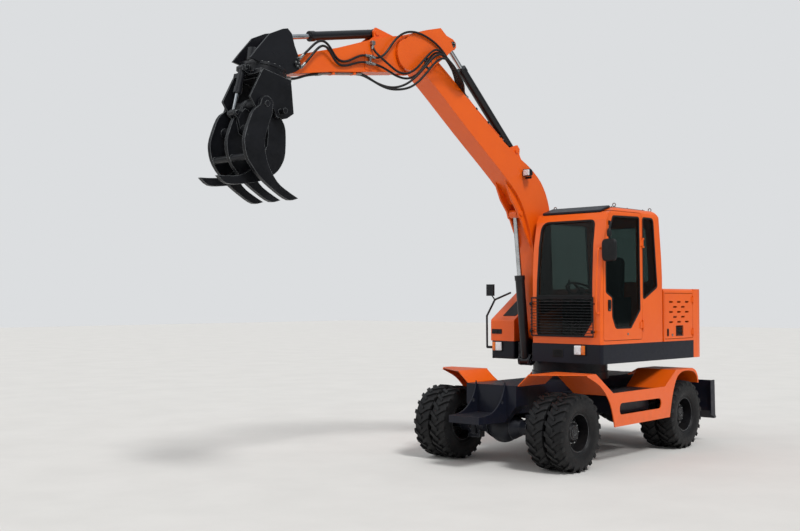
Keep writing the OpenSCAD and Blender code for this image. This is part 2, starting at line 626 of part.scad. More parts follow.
function grow_ccw(p, t) = let (n = inset([for (i = [len(p) - 1:-1:0]) [p[i][0], p[i][1]]], t * area_sign(p)))
    [for (i = [0:len(p) - 1]) [n[len(p) - 1 - i][0], n[len(p) - 1 - i][1], p[i][2] + t]];
function area_sign(p) = sum([for (i = [0:len(p) - 1]) let (j = (i + 1) % len(p)) p[i][0] * p[j][1] - p[j][0] * p[i][1]]) > 0 ? -1 : 1;
function sum(v, i = 0) = i == len(v) ? 0 : v[i] + sum(v, i + 1);
module cab_door() on_upper() color(orange) difference() {
    union() {
        intersection() {
            cab_shell(0, cab_wall);
            outline_left(DOOR);
        }
        for (z = CAB_HINGES) {
            translate([CAB_HINGE[0], CAB_HINGE[1], z]) cylinder(r = 10, h = 80, center = true);
            block([CAB_HINGE[0], upper_half + 1, z - 40], [CAB_HINGE[0] + 60, upper_half + 9, z + 40]);
            block([CAB_HINGE[0] + 14, upper_half - 8, z - 40], [CAB_HINGE[0] + 60, upper_half + 9, z + 40]);
        }
    }
    for (z = CAB_HINGES) translate([CAB_HINGE[0], CAB_HINGE[1], z])
        cylinder(r = 7 + pin_gap, h = 200, center = true);
    outline_left(DOOR_WINDOW);
}
module glass_in(p0, p1) intersection() {
    cab_shell(p0, p0 + glass_t);
    children();
}
module cab_glass() on_upper() color(tinted) glass_in(14) {
    union() {
        outline_left(grow_ccw(REAR_WINDOW, -0.3));
        outline_front(grow_ccw(FRONT_WINDOW, -0.3));
        outline_back(grow_ccw(BACK_WINDOW, -0.3));
        outline_right(grow_ccw(RIGHT_WINDOW, -0.3));
    }
}
module door_glass() on_upper() color(tinted) glass_in(14) outline_left(grow_ccw(DOOR_WINDOW, -0.3));

// Wire guard over the lower front window
module front_guard() on_upper() color(black) {
    gx = cab_front + 26;
    for (y = [-90, 800], z = [1520, 1850]) translate([cab_front + 0.3, y, z]) rotate([0, 90, 0]) cylinder(r = 9, h = 36);
    for (y = [-90, 800]) translate([gx, y, 1460]) cylinder(r = 7, h = 470);
    for (i = [0:13]) translate([gx, -90, 1470 + 34 * i]) rotate([-90, 0, 0]) cylinder(r = 3.5, h = 890);
}

// Seat and controls
module seat() on_upper() color("#232325") {
    block([-260, 170, belt_top + 330], [240, 620, belt_top + 450]);
    block([-330, 180, belt_top + 400], [-210, 610, belt_top + 1080]);
}
module controls() on_upper() color(black) {
    floor_z = belt_top + cab_wall + 0.3;
    block([-200, 220, floor_z], [180, 570, belt_top + 329.7]);
    for (y = [110, 680]) block([-250, y - 60, floor_z], [230, y + 60, belt_top + 560]);
    for (y = [110, 680]) translate([170, y, belt_top + 555]) cylinder(r = 12, h = 220);
    translate([470, 395, floor_z + 12]) rotate([0, -14, 0]) cylinder(r = 45, h = 600);
    block([415, 340, floor_z], [525, 450, floor_z + 26]);
    translate([330, 395, belt_top + 640]) rotate([0, -30, 0]) difference() {
        union() {
            rotate_extrude() translate([180, 0]) circle(r = 14, $fn = 16);
            for (a = [0, 120, 240]) rotate([0, 0, a]) block([0, -14, -8], [180, 14, 8]);
            cylinder(r = 45, h = 50, center = true);
        }
    }
}

// Handrails, mirrors and lamps
module tube(a, b, r) {
    d = b - a;
    translate(a - unit(d) * r * 0.6) rotate([0, acos(d[2] / norm(d)), atan2(d[1], d[0])])
        cylinder(r = r, h = norm(d) + 1.2 * r);
}
module run(p, r) for (i = [0:len(p) - 2]) tube(p[i], p[i + 1], r);
module handrails() on_upper() color(black) {
    run([[tank_front - 4, -969, 1290], [tank_front, -969, 1689], [tank_front - 80, -900, 1900],
        [tank_front - 400, -900, 1990]], 13);
    block([tank_front - 60, -975, 1270], [tank_front, -upper_half - 0.3, 1300]);
    // Right-hand mirror on its stem
    run([[tank_front - 80, -900, 1900], [tank_front - 40, -950, 1990]], 8);
    block([tank_front - 50, -1000, 1950], [tank_front - 26, -880, 2100]);
}
module mirrors() on_upper() color(black) {
    block([622, 905, 2347], [646, 1095, 2610]);
    block([190, 780, 3010.3], [250, 840, 3022]);
    run([[220, 810, 3021], [260, 900, 3050], [560, 985, 2960], [634, 1000, 2600]], 9);
}
module lamps() on_upper() color("#E8E8E6") {
    for (p = [[cab_front, 578], [tank_front, -762]])
        translate([p[0] + 0.3, p[1], 1300]) block([0, -45, -55], [34, 45, 55]);
}

// Boom outline: belly upwards from the foot, then the back downwards
BELLY = [[385, 1620], [440, 1790], [468, 1950], [475, 2272], [520, 2600], [610, 2850], [770, 3130],
    [1035, 3370], [1720, 3862], [2244, 4250], [2440, 4385]];
BACK = [[2330, 4630], [2037, 4445], [1600, 4140], [1161, 3860], [800, 3660], [566, 3545], [340, 3380],
    [200, 3160], [140, 2900], [110, 2400], [90, 1900], [90, 1600]];
rod_side = 8;
module boom() on_boom_plane() color(orange) difference() {
    union() {
        side_plate(boom_w) polygon(concat(arc(boom_foot, 95, 200, 340, 8), smooth(BELLY, 3),
            arc(arm_pin, 98, -60, 100, 8), smooth(BACK, 3)));
        // Lugs of the boom cylinder's rod and of the arm cylinder's base
        ears(boom_cyl_r + rod_side, 24, boom_eye, pin_r, [[1030, 3380], [900, 3130], [775, 2990], [745, 2915],
            [712, 2898], [640, 2760], [480, 2500], [600, 3100]]);
        ears(arm_cyl_r, 24, arm_base, pin_r, [[1000, 3740], [840, 3790], [760, 3815], [712, 3770],
            [720, 3700], [640, 3570]]);
        cross_pin(arm_base, pin_r, 150);
        cross_pin(arm_pin, 45, 2 * cheek_out + 30);
    }
    // Room for the cylinder's eye and rod, which drift a little there
    cross_pin(boom_eye, pin_r * 1.7 + 66, 2 * (boom_cyl_r + rod_side + eye_gap));
    side_plate(2 * (boom_cyl_r + rod_side + eye_gap)) polygon([[700, 2968], [600, 2940], [590, 2740], [760, 2740],
        [760, 2968]]);
    cross_pin(boom_foot, pin_r + pin_gap, 600);
}
module boom_barrel() on_boom_plane() color(black) barrel(boom_base, boom_eye, boom_cyl_r, 30, boom_barrel_l, pin_r);
module boom_rod() on_boom_plane() color(chrome) rod(boom_base, boom_eye, boom_cyl_r, 30, boom_rod_l, pin_r);

// Arm: its cheeks stand outside the boom's tip, and its box begins in front of the tip
cheek_in = boom_w / 2 + 6;
cheek_t = 26;
cheek_out = cheek_in + cheek_t;
module arm() on_boom_plane() color(orange) difference() {
    union() {
        side_plate(arm_w) polygon(concat([[3900, 4231], [3180, 4340], [2830, 4395], [2830, 4803], [2870, 4790],
            [3090, 4740], [3329, 4664], [3803, 4496]], arc(head_pin, 90, 75, -105, 8)));
        for (s = [-1, 1]) side_plate(cheek_t, s * (cheek_in + cheek_t / 2)) polygon(concat(
            [[2680, 4423], [2540, 4440], [2440, 4470], [2330, 4560], [2150, 4690], [2043, 4779], [2095, 4862],
            [2266, 4981], [2500, 4915], [2750, 4830]], arc([2790, 4590], 175, 80, -100, 10)));
        // Spacer between the box and the cheeks, the top plate and the rear tie
        side_plate(2 * cheek_in + 2) polygon([[2830, 4430], [2830, 4790], [2900, 4740], [2940, 4590],
            [2900, 4450]]);
        side_plate(2 * cheek_in + 2) polygon([[2230, 4956], [2266, 4981], [2500, 4915], [2870, 4790],
            [2860, 4760], [2490, 4885], [2270, 4946]]);
        side_plate(2 * cheek_in + 2) polygon([[2043, 4779], [2095, 4862], [2266, 4981], [2300, 4950],
            [2210, 4850], [2120, 4760], [2080, 4750]]);
        ears(arm_cyl_r + rod_side, 24, arm_eye, pin_r, [[2266, 4981], [2180, 4960], [1975, 4915], [1925, 4880],
            [1920, 4830], [1950, 4795], [2060, 4760], [2200, 4850]]);
        ears(tilt_cyl_r, 22, tilt_base, 28, [[2900, 4770], [3150, 4815], [3215, 4825], [3250, 4780],
            [3240, 4720], [3350, 4640]]);
        cross_pin(tilt_base, 28, 150);
    }
    // Room for the cylinder's rod eye, which drifts there
    cross_pin(arm_eye, pin_r * 1.7 + 96, 2 * (arm_cyl_r + rod_side + eye_gap));
    cross_pin(arm_pin, 45 + pin_gap, 600);
    cross_pin(head_pin, pin_r + pin_gap, 600);
}
module arm_barrel() on_boom_plane() color(black) barrel(arm_base, arm_eye, arm_cyl_r, 28, arm_barrel_l, pin_r);
module arm_rod() on_boom_plane() color(chrome) rod(arm_base, arm_eye, arm_cyl_r, 28, arm_rod_l, pin_r);
module tilt_barrel() on_boom_plane() color(black) barrel(tilt_base, tilt_eye, tilt_cyl_r, 26, tilt_barrel_l, 28);
module tilt_rod() on_boom_plane() color(chrome) rod(tilt_base, tilt_eye, tilt_cyl_r, 26, tilt_rod_l, 28);

// Head between the arm and the rotator
module head() {
    on_boom_plane() color(dark) {
        for (s = [-1, 1]) side_plate(22, s * (arm_w / 2 + 18)) polygon([[4390, 4150], [4325, 4200], [4345, 4270],
            [4410, 4400], [4450, 4520], [4500, 4560], [4560, 4545], [4720, 4470], [4880, 4290], [4957, 4197],
            [4498, 4108]]);
        cross_pin(head_pin, pin_r, arm_w + 80);
        // Ends of the tilt cylinder's pin
        for (s = [-1, 1]) cross_pin(tilt_eye, 42, 100, s * (tilt_cyl_r + eye_gap + 50));
    }
    on_grapple() color(dark) {
        translate([0, 0, 16]) cylinder(r = rotator_r + 8, h = 26);
        block([-180, -arm_w / 2 - 29, 40], [200, arm_w / 2 + 29, 62]);
        translate([150, 0, 60]) cylinder(r = 62, h = 130);
    }
}

// Grapple body with its turning ring
plate_y = 215;
module grapple_body() on_grapple() color(black) {
    translate([0, 0, -60]) cylinder(r = rotator_r, h = 75.7);
    for (s = [-1, 1]) side_plate(24, s * plate_y) polygon([[-170, -50], [170, -50], [190, -100], [270, -360],
        [200, -430], [150, -455], [70, -455], [30, -390], [-30, -390], [-70, -455], [-150, -455], [-200, -430],
        [-270, -360], [-190, -100]]);
    for (s = [-1, 1]) cross_pin([s * jaw_hinge_s, -jaw_hinge_w], 28, 2 * tine_pitch + tine_t + 16);
    block([-120, -204, -100], [120, 204, -60]);
    for (s = [-1, 1]) {
        block([s > 0 ? 150 : -190, -plate_y, -90], [s > 0 ? 190 : -150, plate_y, -45]);
        ears_mirrored(s);
    }
}
module ears_mirrored(s) mirror([s > 0 ? 0 : 1, 0, 0]) {
    ears(jaw_cyl_r, 18, [jaw_top[0], -jaw_top[1]], 20, [[150, -90], [150, -20], [250, -4], [286, -30],
        [280, -72], [230, -90]]);
    cross_pin([jaw_top[0], -jaw_top[1]], 20, 2 * jaw_cyl_r + 10);
}
// Tine outline: round its hinge, down the outer edge to the tip, then up the inner edge
TINE_OUTER = [[188, -430], [255, -517], [298, -739], [282, -859], [213, -977], [51, -1095], [-153, -1178],
    [-322, -1219], [-434, -1173]];
TINE_INNER = [[-434, -1173], [-300, -1140], [-155, -1085], [-15, -950], [62, -775], [63, -650], [30, -460]];
module tine() polygon(concat(arc([jaw_hinge_s, -jaw_hinge_w], 72, 190, -10, 12), smooth(TINE_OUTER, 3),
    smooth(TINE_INNER, 3)));
// One jaw with tines at the given places along its hinge
module jaw(places) difference() {
    last = places[len(places) - 1];
    lug_at = [jaw_lug[0], -jaw_lug[1]];
    union() {
        for (y = places) side_plate(tine_t, y) tine();
        cross_pin([150, -640], 48, 2 * last);
        cross_pin([205, -930], 34, 2 * last);
        side_plate(2 * (jaw_cyl_r + 20)) polygon([[110, -440], [180, -430], [215, -480], [240, -560], [200, -640],
            [110, -640]]);
        cross_pin([jaw_hinge_s, -jaw_hinge_w], 58, last > 200 ? 2 * (plate_y - 20) : 2 * last);
        ears(jaw_cyl_r, 18, lug_at, 20, [[200, -470], [262, -466], [302, -490], [302, -520], [262, -540], [200, -570]]);
    }
    cross_pin([jaw_hinge_s, -jaw_hinge_w], 28 + pin_gap, 800);
    cross_pin(lug_at, 20 * 1.7 + 14, 2 * (jaw_cyl_r + eye_gap));
    side_plate(2 * (jaw_cyl_r + eye_gap)) polygon([lug_at + [-50, 0], lug_at + [-70, 120], lug_at + [60, 120],
        lug_at + [60, 0]]);
}
module jaw_three() on_grapple() color(black) jaw([-tine_pitch, 0, tine_pitch]);
module jaw_two() on_grapple() color(black) mirror([1, 0, 0]) jaw([-tine_pitch / 2, tine_pitch / 2]);
module jaw_barrels_a() on_grapple() color(dark)
    barrel([jaw_top[0], -jaw_top[1]], [jaw_lug[0], -jaw_lug[1]], jaw_cyl_r, 18, jaw_barrel_l, 20);
module jaw_barrels_b() on_grapple() color(dark) mirror([1, 0, 0])
    barrel([jaw_top[0], -jaw_top[1]], [jaw_lug[0], -jaw_lug[1]], jaw_cyl_r, 18, jaw_barrel_l, 20);
module jaw_rods_a() on_grapple() color(chrome)
    rod([jaw_top[0], -jaw_top[1]], [jaw_lug[0], -jaw_lug[1]], jaw_cyl_r, 18, jaw_rod_l, 20);
module jaw_rods_b() on_grapple() color(chrome) mirror([1, 0, 0])
    rod([jaw_top[0], -jaw_top[1]], [jaw_lug[0], -jaw_lug[1]], jaw_cyl_r, 18, jaw_rod_l, 20);

chassis_frame();
fender_left();
fender_right();
front_axle();
rear_axle();
drive_line();
knuckle_left();
knuckle_right();
tyres_front_left();
tyres_front_right();
tyres_rear_left();
tyres_rear_right();
rims_front_left();
rims_front_right();
rims_rear_left();
rims_rear_right();
blade();
blade_barrel();
blade_rod();
upper_frame();
belt();
counterweight();
engine_hood();
engine_lid();
side_door();
engine_block();
tank_body();
cab_frame();
cab_glass();
front_guard();
cab_door();
door_glass();
seat();
controls();
handrails();
mirrors();
lamps();
boom();
boom_barrel();
boom_rod();
arm();
arm_barrel();
arm_rod();
tilt_barrel();
tilt_rod();
head();
grapple_body();
jaw_three();
jaw_two();
jaw_barrels_a();
jaw_barrels_b();
jaw_rods_a();
jaw_rods_b();
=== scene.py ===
"""Looks of a wheeled excavator with a five-tine log grapple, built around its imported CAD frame.

Every piece is in metres in the frame of the CAD part. X points forward, Y to the machine's left, Z up.
"""

import math

import bmesh
import bpy
from bpy.props import FloatProperty, FloatVectorProperty, IntProperty, PointerProperty
from mathutils import Matrix, Vector


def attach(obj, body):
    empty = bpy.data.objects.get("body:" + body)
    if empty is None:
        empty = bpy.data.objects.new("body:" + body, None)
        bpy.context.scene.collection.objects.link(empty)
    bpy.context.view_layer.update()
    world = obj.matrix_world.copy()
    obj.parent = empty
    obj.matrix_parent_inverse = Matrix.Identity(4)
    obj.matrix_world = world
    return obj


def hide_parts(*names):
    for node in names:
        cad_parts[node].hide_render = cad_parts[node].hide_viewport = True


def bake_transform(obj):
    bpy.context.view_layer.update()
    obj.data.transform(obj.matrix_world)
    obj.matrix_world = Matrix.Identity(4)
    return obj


bl_info = {
    "name": "Wheeled Excavator Looks",
    "version": (1, 0, 0),
    "blender": (4, 5, 0),
    "location": "View3D > Sidebar > Excavator",
    "description": "Dresses the packed excavator with finishes, tyres, hoses, trim, lamps and a studio",
    "category": "Object",
}

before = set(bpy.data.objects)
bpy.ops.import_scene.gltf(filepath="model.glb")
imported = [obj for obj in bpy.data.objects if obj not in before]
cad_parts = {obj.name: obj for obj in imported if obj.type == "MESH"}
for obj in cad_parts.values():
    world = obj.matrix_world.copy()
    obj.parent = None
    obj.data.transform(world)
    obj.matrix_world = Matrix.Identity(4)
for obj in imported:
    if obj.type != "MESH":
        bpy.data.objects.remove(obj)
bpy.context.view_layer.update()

# The middle between the axles lies this far ahead of the frame's origin
MACHINE_X = -1.514
# The upper structure is stored turned by this angle about the slew axis
SLEW_X = -0.150
SLEW_DEG = -2.9
AXLE_X = {"front": 1.275, "rear": -1.275}
AXLE_Z = 0.4325
TWIN_Y = (0.682, 0.922)


# Places and colours


def linear(code):
    """Turns an sRGB hex colour into the linear RGBA that the shaders take."""
    channels = [int(code.lstrip("#")[i : i + 2], 16) / 255 for i in (0, 2, 4)]
    curve = [c / 12.92 if c <= 0.04045 else ((c + 0.055) / 1.055) ** 2.4 for c in channels]
    return (*curve, 1.0)


def hex_code(colour):
    """The sRGB hex code of a colour property."""
    return "#" + "".join(f"{round(c * 255):02X}" for c in colour)


def mm(*values):
    """Millimetres as a vector in metres."""
    return Vector([v / 1000 for v in values])


def on_chassis(x, y, z):
    """A place on the undercarriage, given in millimetres from the middle between the axles."""
    return mm(x, y, z) + Vector((MACHINE_X, 0, 0))


UP = Vector((0, 0, 1))
UPPER = Matrix.Translation((MACHINE_X + SLEW_X, 0, 0)) @ Matrix.Rotation(math.radians(SLEW_DEG), 4, "Z")


def on_upper(x, y, z):
    """A place on the upper structure, given in millimetres from the slew axis."""
    return UPPER @ mm(x, y, z)


def upper_direction(x, y, z):
    """A direction of the upper structure in the frame."""
    return (UPPER.to_3x3() @ Vector((x, y, z))).normalized()


AHEAD = upper_direction(1, 0, 0)
LEFT = upper_direction(0, 1, 0)
# The boom's plane lies this far left of the slew axis, in millimetres
BOOM_Y = -317


def on_boom(x, y, z):
    """A place in the boom's plane: forward and up from the slew axis, y from the boom's middle, in millimetres."""
    return UPPER @ mm(x, BOOM_Y + y, z)


def beside_boom(a, b, level):
    """A place on the side of the boom or the arm: forward, up, and how far left of their plane."""
    return on_boom(a, level, b)


GRAPPLE = UPPER @ Matrix.Translation(mm(4683, BOOM_Y, 4113)) @ Matrix.Rotation(math.radians(-11), 4, "Y")


def on_grapple(x, y, z):
    """A place on the grapple, in millimetres from the rotator's middle, with Z along its leaning axis."""
    return GRAPPLE @ mm(x, y, z)


# Meshes


def mesh_from(shape, name):
    """Turns a bmesh into a mesh and frees it."""
    mesh = bpy.data.meshes.new(name)
    bmesh.ops.recalc_face_normals(shape, faces=shape.faces)
    shape.to_mesh(mesh)
    shape.free()
    return mesh


def piece(name, shape, body, finishes, smooth=35):
    """Puts a shape in the scene as a piece that rides on a body, with its finishes.
    Edges sharper than smooth, in degrees, stay sharp."""
    mesh = mesh_from(shape, name)
    made = bpy.data.objects.new(name, mesh)
    bpy.context.scene.collection.objects.link(made)
    for finish in finishes.split():
        mesh.materials.append(FINISHES[finish])
    mesh.shade_smooth()
    mesh.set_sharp_from_angle(angle=math.radians(smooth))
    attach(made, body)
    return made


def ring_of(centre, across, up, radius, sides):
    """Points round a centre in the plane of two directions."""
    turn = 2 * math.pi / sides
    return [centre + radius * (math.cos(k * turn) * across + math.sin(k * turn) * up) for k in range(sides)]


def add_loft(shape, rings, closed=False, capped=True, material=0):
    """Joins rings of equal length with faces, with caps on the ends or closed on itself."""
    rows = [[shape.verts.new(p) for p in ring] for ring in rings]
    count = len(rows[0])
    pairs = list(zip(rows, rows[1:]))
    if closed:
        pairs.append((rows[-1], rows[0]))
    for one, two in pairs:
        for k in range(count):
            face = shape.faces.new((one[k], one[(k + 1) % count], two[(k + 1) % count], two[k]))
            face.material_index = material
    if capped and not closed:
        for row in (rows[0][::-1], rows[-1]):
            shape.faces.new(row).material_index = material


def side_axes(along):
    """Two directions square to a direction."""
    along = along.normalized()
    guide = UP if abs(along.z) < 0.9 else Vector((1, 0, 0))
    across = along.cross(guide).normalized()
    return across, across.cross(along).normalized()


def add_tube(shape, points, radius, sides):
    """Sweeps a round section along points, with its frame carried along the curve."""
    directions = [(b - a).normalized() for a, b in zip(points, points[1:])]
    tangents = [directions[0]]
    tangents += [(a + b).normalized() for a, b in zip(directions, directions[1:])]
    tangents.append(directions[-1])
    across, up = side_axes(tangents[0])
    rings = []
    for k, point in enumerate(points):
        if k:
            turn = tangents[k - 1].rotation_difference(tangents[k])
            across, up = turn @ across, turn @ up
        rings.append(ring_of(point, across, up, radius, sides))
    add_loft(shape, rings)


def add_turned(shape, base, axis, profile, sides, material=0):
    """Turns a profile of (distance along the axis, radius) round an axis, in metres."""
    across, up = side_axes(axis)
    rings = [ring_of(base + axis * along, across, up, max(radius, 1e-5), sides) for along, radius in profile]
    add_loft(shape, rings, material=material)


def smooth_path(points, steps):
    """A curve through given points, with equal steps between two of them."""
    path = []
    ends = [2 * points[0] - points[1], *points, 2 * points[-1] - points[-2]]
    for a, b, c, d in zip(ends, ends[1:], ends[2:], ends[3:]):
        for k in range(steps):
            t = k / steps
            path.append(
                0.5
                * (
                    2 * b
                    + (c - a) * t
                    + (2 * a - 5 * b + 4 * c - d) * t**2
                    + (3 * b - a - 3 * c + d) * t**3
                )
            )
    path.append(points[-1].copy())
    return path


def rounded(corners, radius, steps):
    """A closed outline with rounded corners. A corner's third number is its own radius."""
    outline = []
    for k, corner in enumerate(corners):
        here = Vector(corner[:2])
        one = Vector(corners[k - 1][:2]) - here
        two = Vector(corners[(k + 1) % len(corners)][:2]) - here
        size = corner[2] if len(corner) > 2 else radius
        reach = min(size / math.tan(one.angle(two) / 2), 0.49 * one.length, 0.49 * two.length)
        start, end = here + one.normalized() * reach, here + two.normalized() * reach
        for j in range(steps + 1):
            t = j / steps
            outline.append((1 - t) ** 2 * start + 2 * t * (1 - t) * here + t**2 * end)
    return outline


def oblong(x0, y0, x1, y1, radius, steps=4):
    """An oblong between two corners, with rounded corners."""
    return rounded([(x0, y0), (x1, y0), (x1, y1), (x0, y1)], radius, steps)


def shrunk(outline, by):
    """A closed outline moved inwards by a distance."""
    area = sum(a.x * b.y - b.x * a.y for a, b in zip(outline, outline[1:] + outline[:1]))
    inwards = by if area > 0 else -by
    made = []
    for k, point in enumerate(outline):
        before = (point - outline[k - 1]).normalized()
        after = (outline[(k + 1) % len(outline)] - point).normalized()
        middle = Vector((-before.y - after.y, before.x + after.x)).normalized()
        share = max(0.4, middle.dot(Vector((-after.y, after.x))))
        made.append(point + inwards / share * middle)
    return made


def add_plate(shape, outline, low, high, place, chamfer, material=0):
    """Extrudes an outline between two levels with chamfered edges. place turns (a, b, level) into the frame."""
    edge = min(chamfer, 0.45 * (high - low))
    small = shrunk(outline, edge)
    rings = []
    for line, level in ((small, low), (outline, low + edge), (outline, high - edge), (small, high)):
        rings.append([place(p.x, p.y, level) for p in line])
    add_loft(shape, rings, material=material)


def add_bolt(shape, at, out, radius, material):
    """A hexagon head on a washer that stands on a surface."""
    out = out.normalized()
    add_turned(shape, at, out, [(-0.001, radius * 1.5), (0.0015, radius * 1.5), (0.002, radius * 1.3)], 16, material)
    add_turned(shape, at, out, [(0.001, radius), (radius * 1.1, radius), (radius * 1.3, radius * 0.8)], 6, material)


def path_length(points):
    """Length of a line through points."""
    return sum((b - a).length for a, b in zip(points, points[1:]))


# Node trees


def add_node(tree, kind, inputs=None, **settings):
    """Adds a node with its settings. An input that is a socket is linked, any other is a value."""
    made = tree.nodes.new(kind)
    for name, value in settings.items():
        setattr(made, name, value)
    for name, value in (inputs or {}).items():
        if isinstance(value, bpy.types.NodeSocket):
            tree.links.new(value, made.inputs[name])
        else:
            made.inputs[name].default_value = value
    return made


def new_material(name, **shader):
    """A material with its principled shader, whose constants are set on the shader's own sockets."""
    made = bpy.data.materials.new(name)
    made.use_nodes = True
    bsdf = made.node_tree.nodes["Principled BSDF"]
    for socket, value in shader.items():
        bsdf.inputs[socket.replace("_", " ")].default_value = value
    return made, made.node_tree, bsdf


def stored_place(tree):
    """The place on the stored machine, in metres, which rides along when the body moves."""
    return add_node(tree, "ShaderNodeTexCoord").outputs["Object"]


def patches(tree, size_mm, low, high, detail=4.0, seed=0.0):
    """Soft noise patches of a real size, as a mask from 0 to 1."""
    place = add_node(tree, "ShaderNodeVectorMath", {0: stored_place(tree), 1: (seed, seed, seed)}, operation="ADD")
    noise = add_node(
        tree,
        "ShaderNodeTexNoise",
        {"Vector": place.outputs[0], "Scale": 1000 / size_mm, "Detail": detail, "Roughness": 0.6},
    )
    ramp = add_node(
        tree,
        "ShaderNodeMapRange",
        {"Value": noise.outputs["Fac"], "From Min": low, "From Max": high},
        interpolation_type="SMOOTHSTEP",
    )
    return ramp.outputs["Result"]


def mixed(tree, mask, one, two):
    """A colour that goes from one to two with a mask."""
    made = add_node(tree, "ShaderNodeMix", data_type="RGBA")
    for name, kind, value in (("Factor", "VALUE", mask), ("A", "RGBA", one), ("B", "RGBA", two)):
        target = next(s for s in made.inputs if (s.name, s.type) == (name, kind))
        if isinstance(value, bpy.types.NodeSocket):
            tree.links.new(value, target)
        else:
            target.default_value = value
    return next(s for s in made.outputs if s.type == "RGBA")


def times(tree, one, two, operation="MULTIPLY"):
    """Two numbers put together by one operation, kept between 0 and 1."""
    return add_node(tree, "ShaderNodeMath", {0: one, 1: two}, operation=operation, use_clamp=True).outputs[0]


def low_dust(tree, top, bottom):
    """A mask that grows from 0 at a height to 1 at a lower one, broken up by patches."""
    height = add_node(tree, "ShaderNodeSeparateXYZ", {"Vector": stored_place(tree)}).outputs["Z"]
    fall = add_node(
        tree,
        "ShaderNodeMapRange",
        {"Value": height, "From Min": top, "From Max": bottom},
        interpolation_type="SMOOTHSTEP",
    ).outputs["Result"]
    return times(tree, fall, patches(tree, 90, 0.32, 0.68))


def lying_dust(tree, strength):
    """A mask for dust that settles on faces that look up on the stored machine."""
    normal = add_node(tree, "ShaderNodeTexCoord").outputs["Normal"]
    up = add_node(tree, "ShaderNodeSeparateXYZ", {"Vector": normal}).outputs["Z"]
    face = add_node(tree, "ShaderNodeMapRange", {"Value": up, "From Min": 0.6, "From Max": 0.98, "To Max": strength})
    return times(tree, face.outputs["Result"], patches(tree, 160, 0.25, 0.75))


def rounded_edges(tree, radius_mm, bump):
    """A normal that rounds the sheet edges over a real radius, with a bump on it."""
    made = add_node(tree, "ShaderNodeBevel", {"Radius": radius_mm / 1000, "Normal": bump}, samples=4)
    return made.outputs["Normal"]


def worn_edges(tree, radius_mm):
    """A mask of the sharp edges: there the rounded normal turns away from the face's own."""
    soft = add_node(tree, "ShaderNodeBevel", {"Radius": radius_mm / 1000}, samples=4).outputs["Normal"]
    own = add_node(tree, "ShaderNodeNewGeometry").outputs["Normal"]
    agree = add_node(tree, "ShaderNodeVectorMath", {0: soft, 1: own}, operation="DOT_PRODUCT").outputs["Value"]
    turned = {"Value": agree, "From Min": 0.97, "From Max": 0.82}
    return add_node(tree, "ShaderNodeMapRange", turned).outputs["Result"]


def bumps(tree, size_mm, depth_mm):
    """A fine uneven surface with grains of a real size and depth."""
    grain = {"Vector": stored_place(tree), "Scale": 1000 / size_mm, "Detail": 3.0, "Roughness": 0.55}
    noise = add_node(tree, "ShaderNodeTexNoise", grain).outputs["Fac"]
    relief = {"Height": noise, "Distance": depth_mm / 1000, "Strength": 1.0}
    return add_node(tree, "ShaderNodeBump", relief).outputs["Normal"]


def new_mottled(name, size_mm, low, high, one, two, **shader):
    """A material whose colour goes from one to two in patches of a real size."""
    made, tree, bsdf = new_material(name, **shader)
    body = mixed(tree, patches(tree, size_mm, low, high), linear(one), linear(two))
    tree.links.new(body, bsdf.inputs["Base Color"])
    return made, tree, bsdf


def vary_roughness(tree, bsdf, mask, low, high):
    """Lets the roughness go from low to high with a mask."""
    rough = add_node(tree, "ShaderNodeMapRange", {"Value": mask, "To Min": low, "To Max": high})
    tree.links.new(rough.outputs["Result"], bsdf.inputs["Roughness"])


# Finishes


def sprayed_enamel(name, colour, shade, roughness=0.34, dust_top=1.0, dust_bottom=0.3, specular=0.5):
    """Two-pack machine enamel sprayed over primed plate: an even gloss with a faint sheet wave,
    slightly uneven depth of colour, dust low down and on faces that look up."""
    shader = {"Coat_Weight": 0.3 * specular, "Coat_Roughness": 0.12, "IOR": 1.48, "Specular_IOR_Level": specular}
    made, tree, bsdf = new_material(name, Roughness=roughness, **shader)
    body = mixed(tree, patches(tree, 420, 0.3, 0.75), linear(colour), linear(shade))
    low = times(tree, low_dust(tree, dust_top, dust_bottom), 0.12)
    dusty = mixed(tree, low, body, linear("#5A4A3C"))
    settled = mixed(tree, lying_dust(tree, 0.05), dusty, linear("#9A8F82"))
    tree.links.new(settled, bsdf.inputs["Base Color"])
    vary_roughness(tree, bsdf, patches(tree, 55, 0.2, 0.8, seed=3.0), roughness - 0.04, roughness + 0.10)
    # The sheet wave of 140 mm is what shows at this distance. The orange peel of 3 mm would not
    tree.links.new(rounded_edges(tree, 5, bumps(tree, 140, 0.5)), bsdf.inputs["Normal"])
    return made


def cast_enamel(name, colour, shade, roughness=0.42, rubbing=0.08):
    """Dark enamel over castings and thick flame-cut plate: duller, with a rough skin, rubbed patches
    and edges worn to bare steel."""
    shader = {"Coat_Weight": 0.04, "Coat_Roughness": 0.3, "IOR": 1.5, "Specular_IOR_Level": 0.24}
    made, tree, bsdf = new_material(name, Roughness=roughness, **shader)
    body = mixed(tree, patches(tree, 240, 0.3, 0.7), linear(colour), linear(shade))
    scuffs = times(tree, patches(tree, 34, 0.62, 0.74, 6.0, 9.0), patches(tree, 380, 0.45, 0.65, seed=5.0))
    rubbed = mixed(tree, times(tree, scuffs, rubbing), body, linear("#6E6F70"))
    edges = times(tree, worn_edges(tree, 8), patches(tree, 90, 0.25, 0.6, seed=7.0))
    worn = mixed(tree, edges, rubbed, linear("#85888A"))
    dusty = mixed(tree, times(tree, low_dust(tree, 1.0, 0.2), 0.06), worn, linear("#5D564E"))
    settled = mixed(tree, lying_dust(tree, 0.03), dusty, linear("#7A746C"))
    tree.links.new(settled, bsdf.inputs["Base Color"])
    vary_roughness(tree, bsdf, patches(tree, 45, 0.2, 0.8, seed=2.0), roughness - 0.08, roughness + 0.14)
    tree.links.new(rounded_edges(tree, 4, bumps(tree, 9, 0.35)), bsdf.inputs["Normal"])
    return made


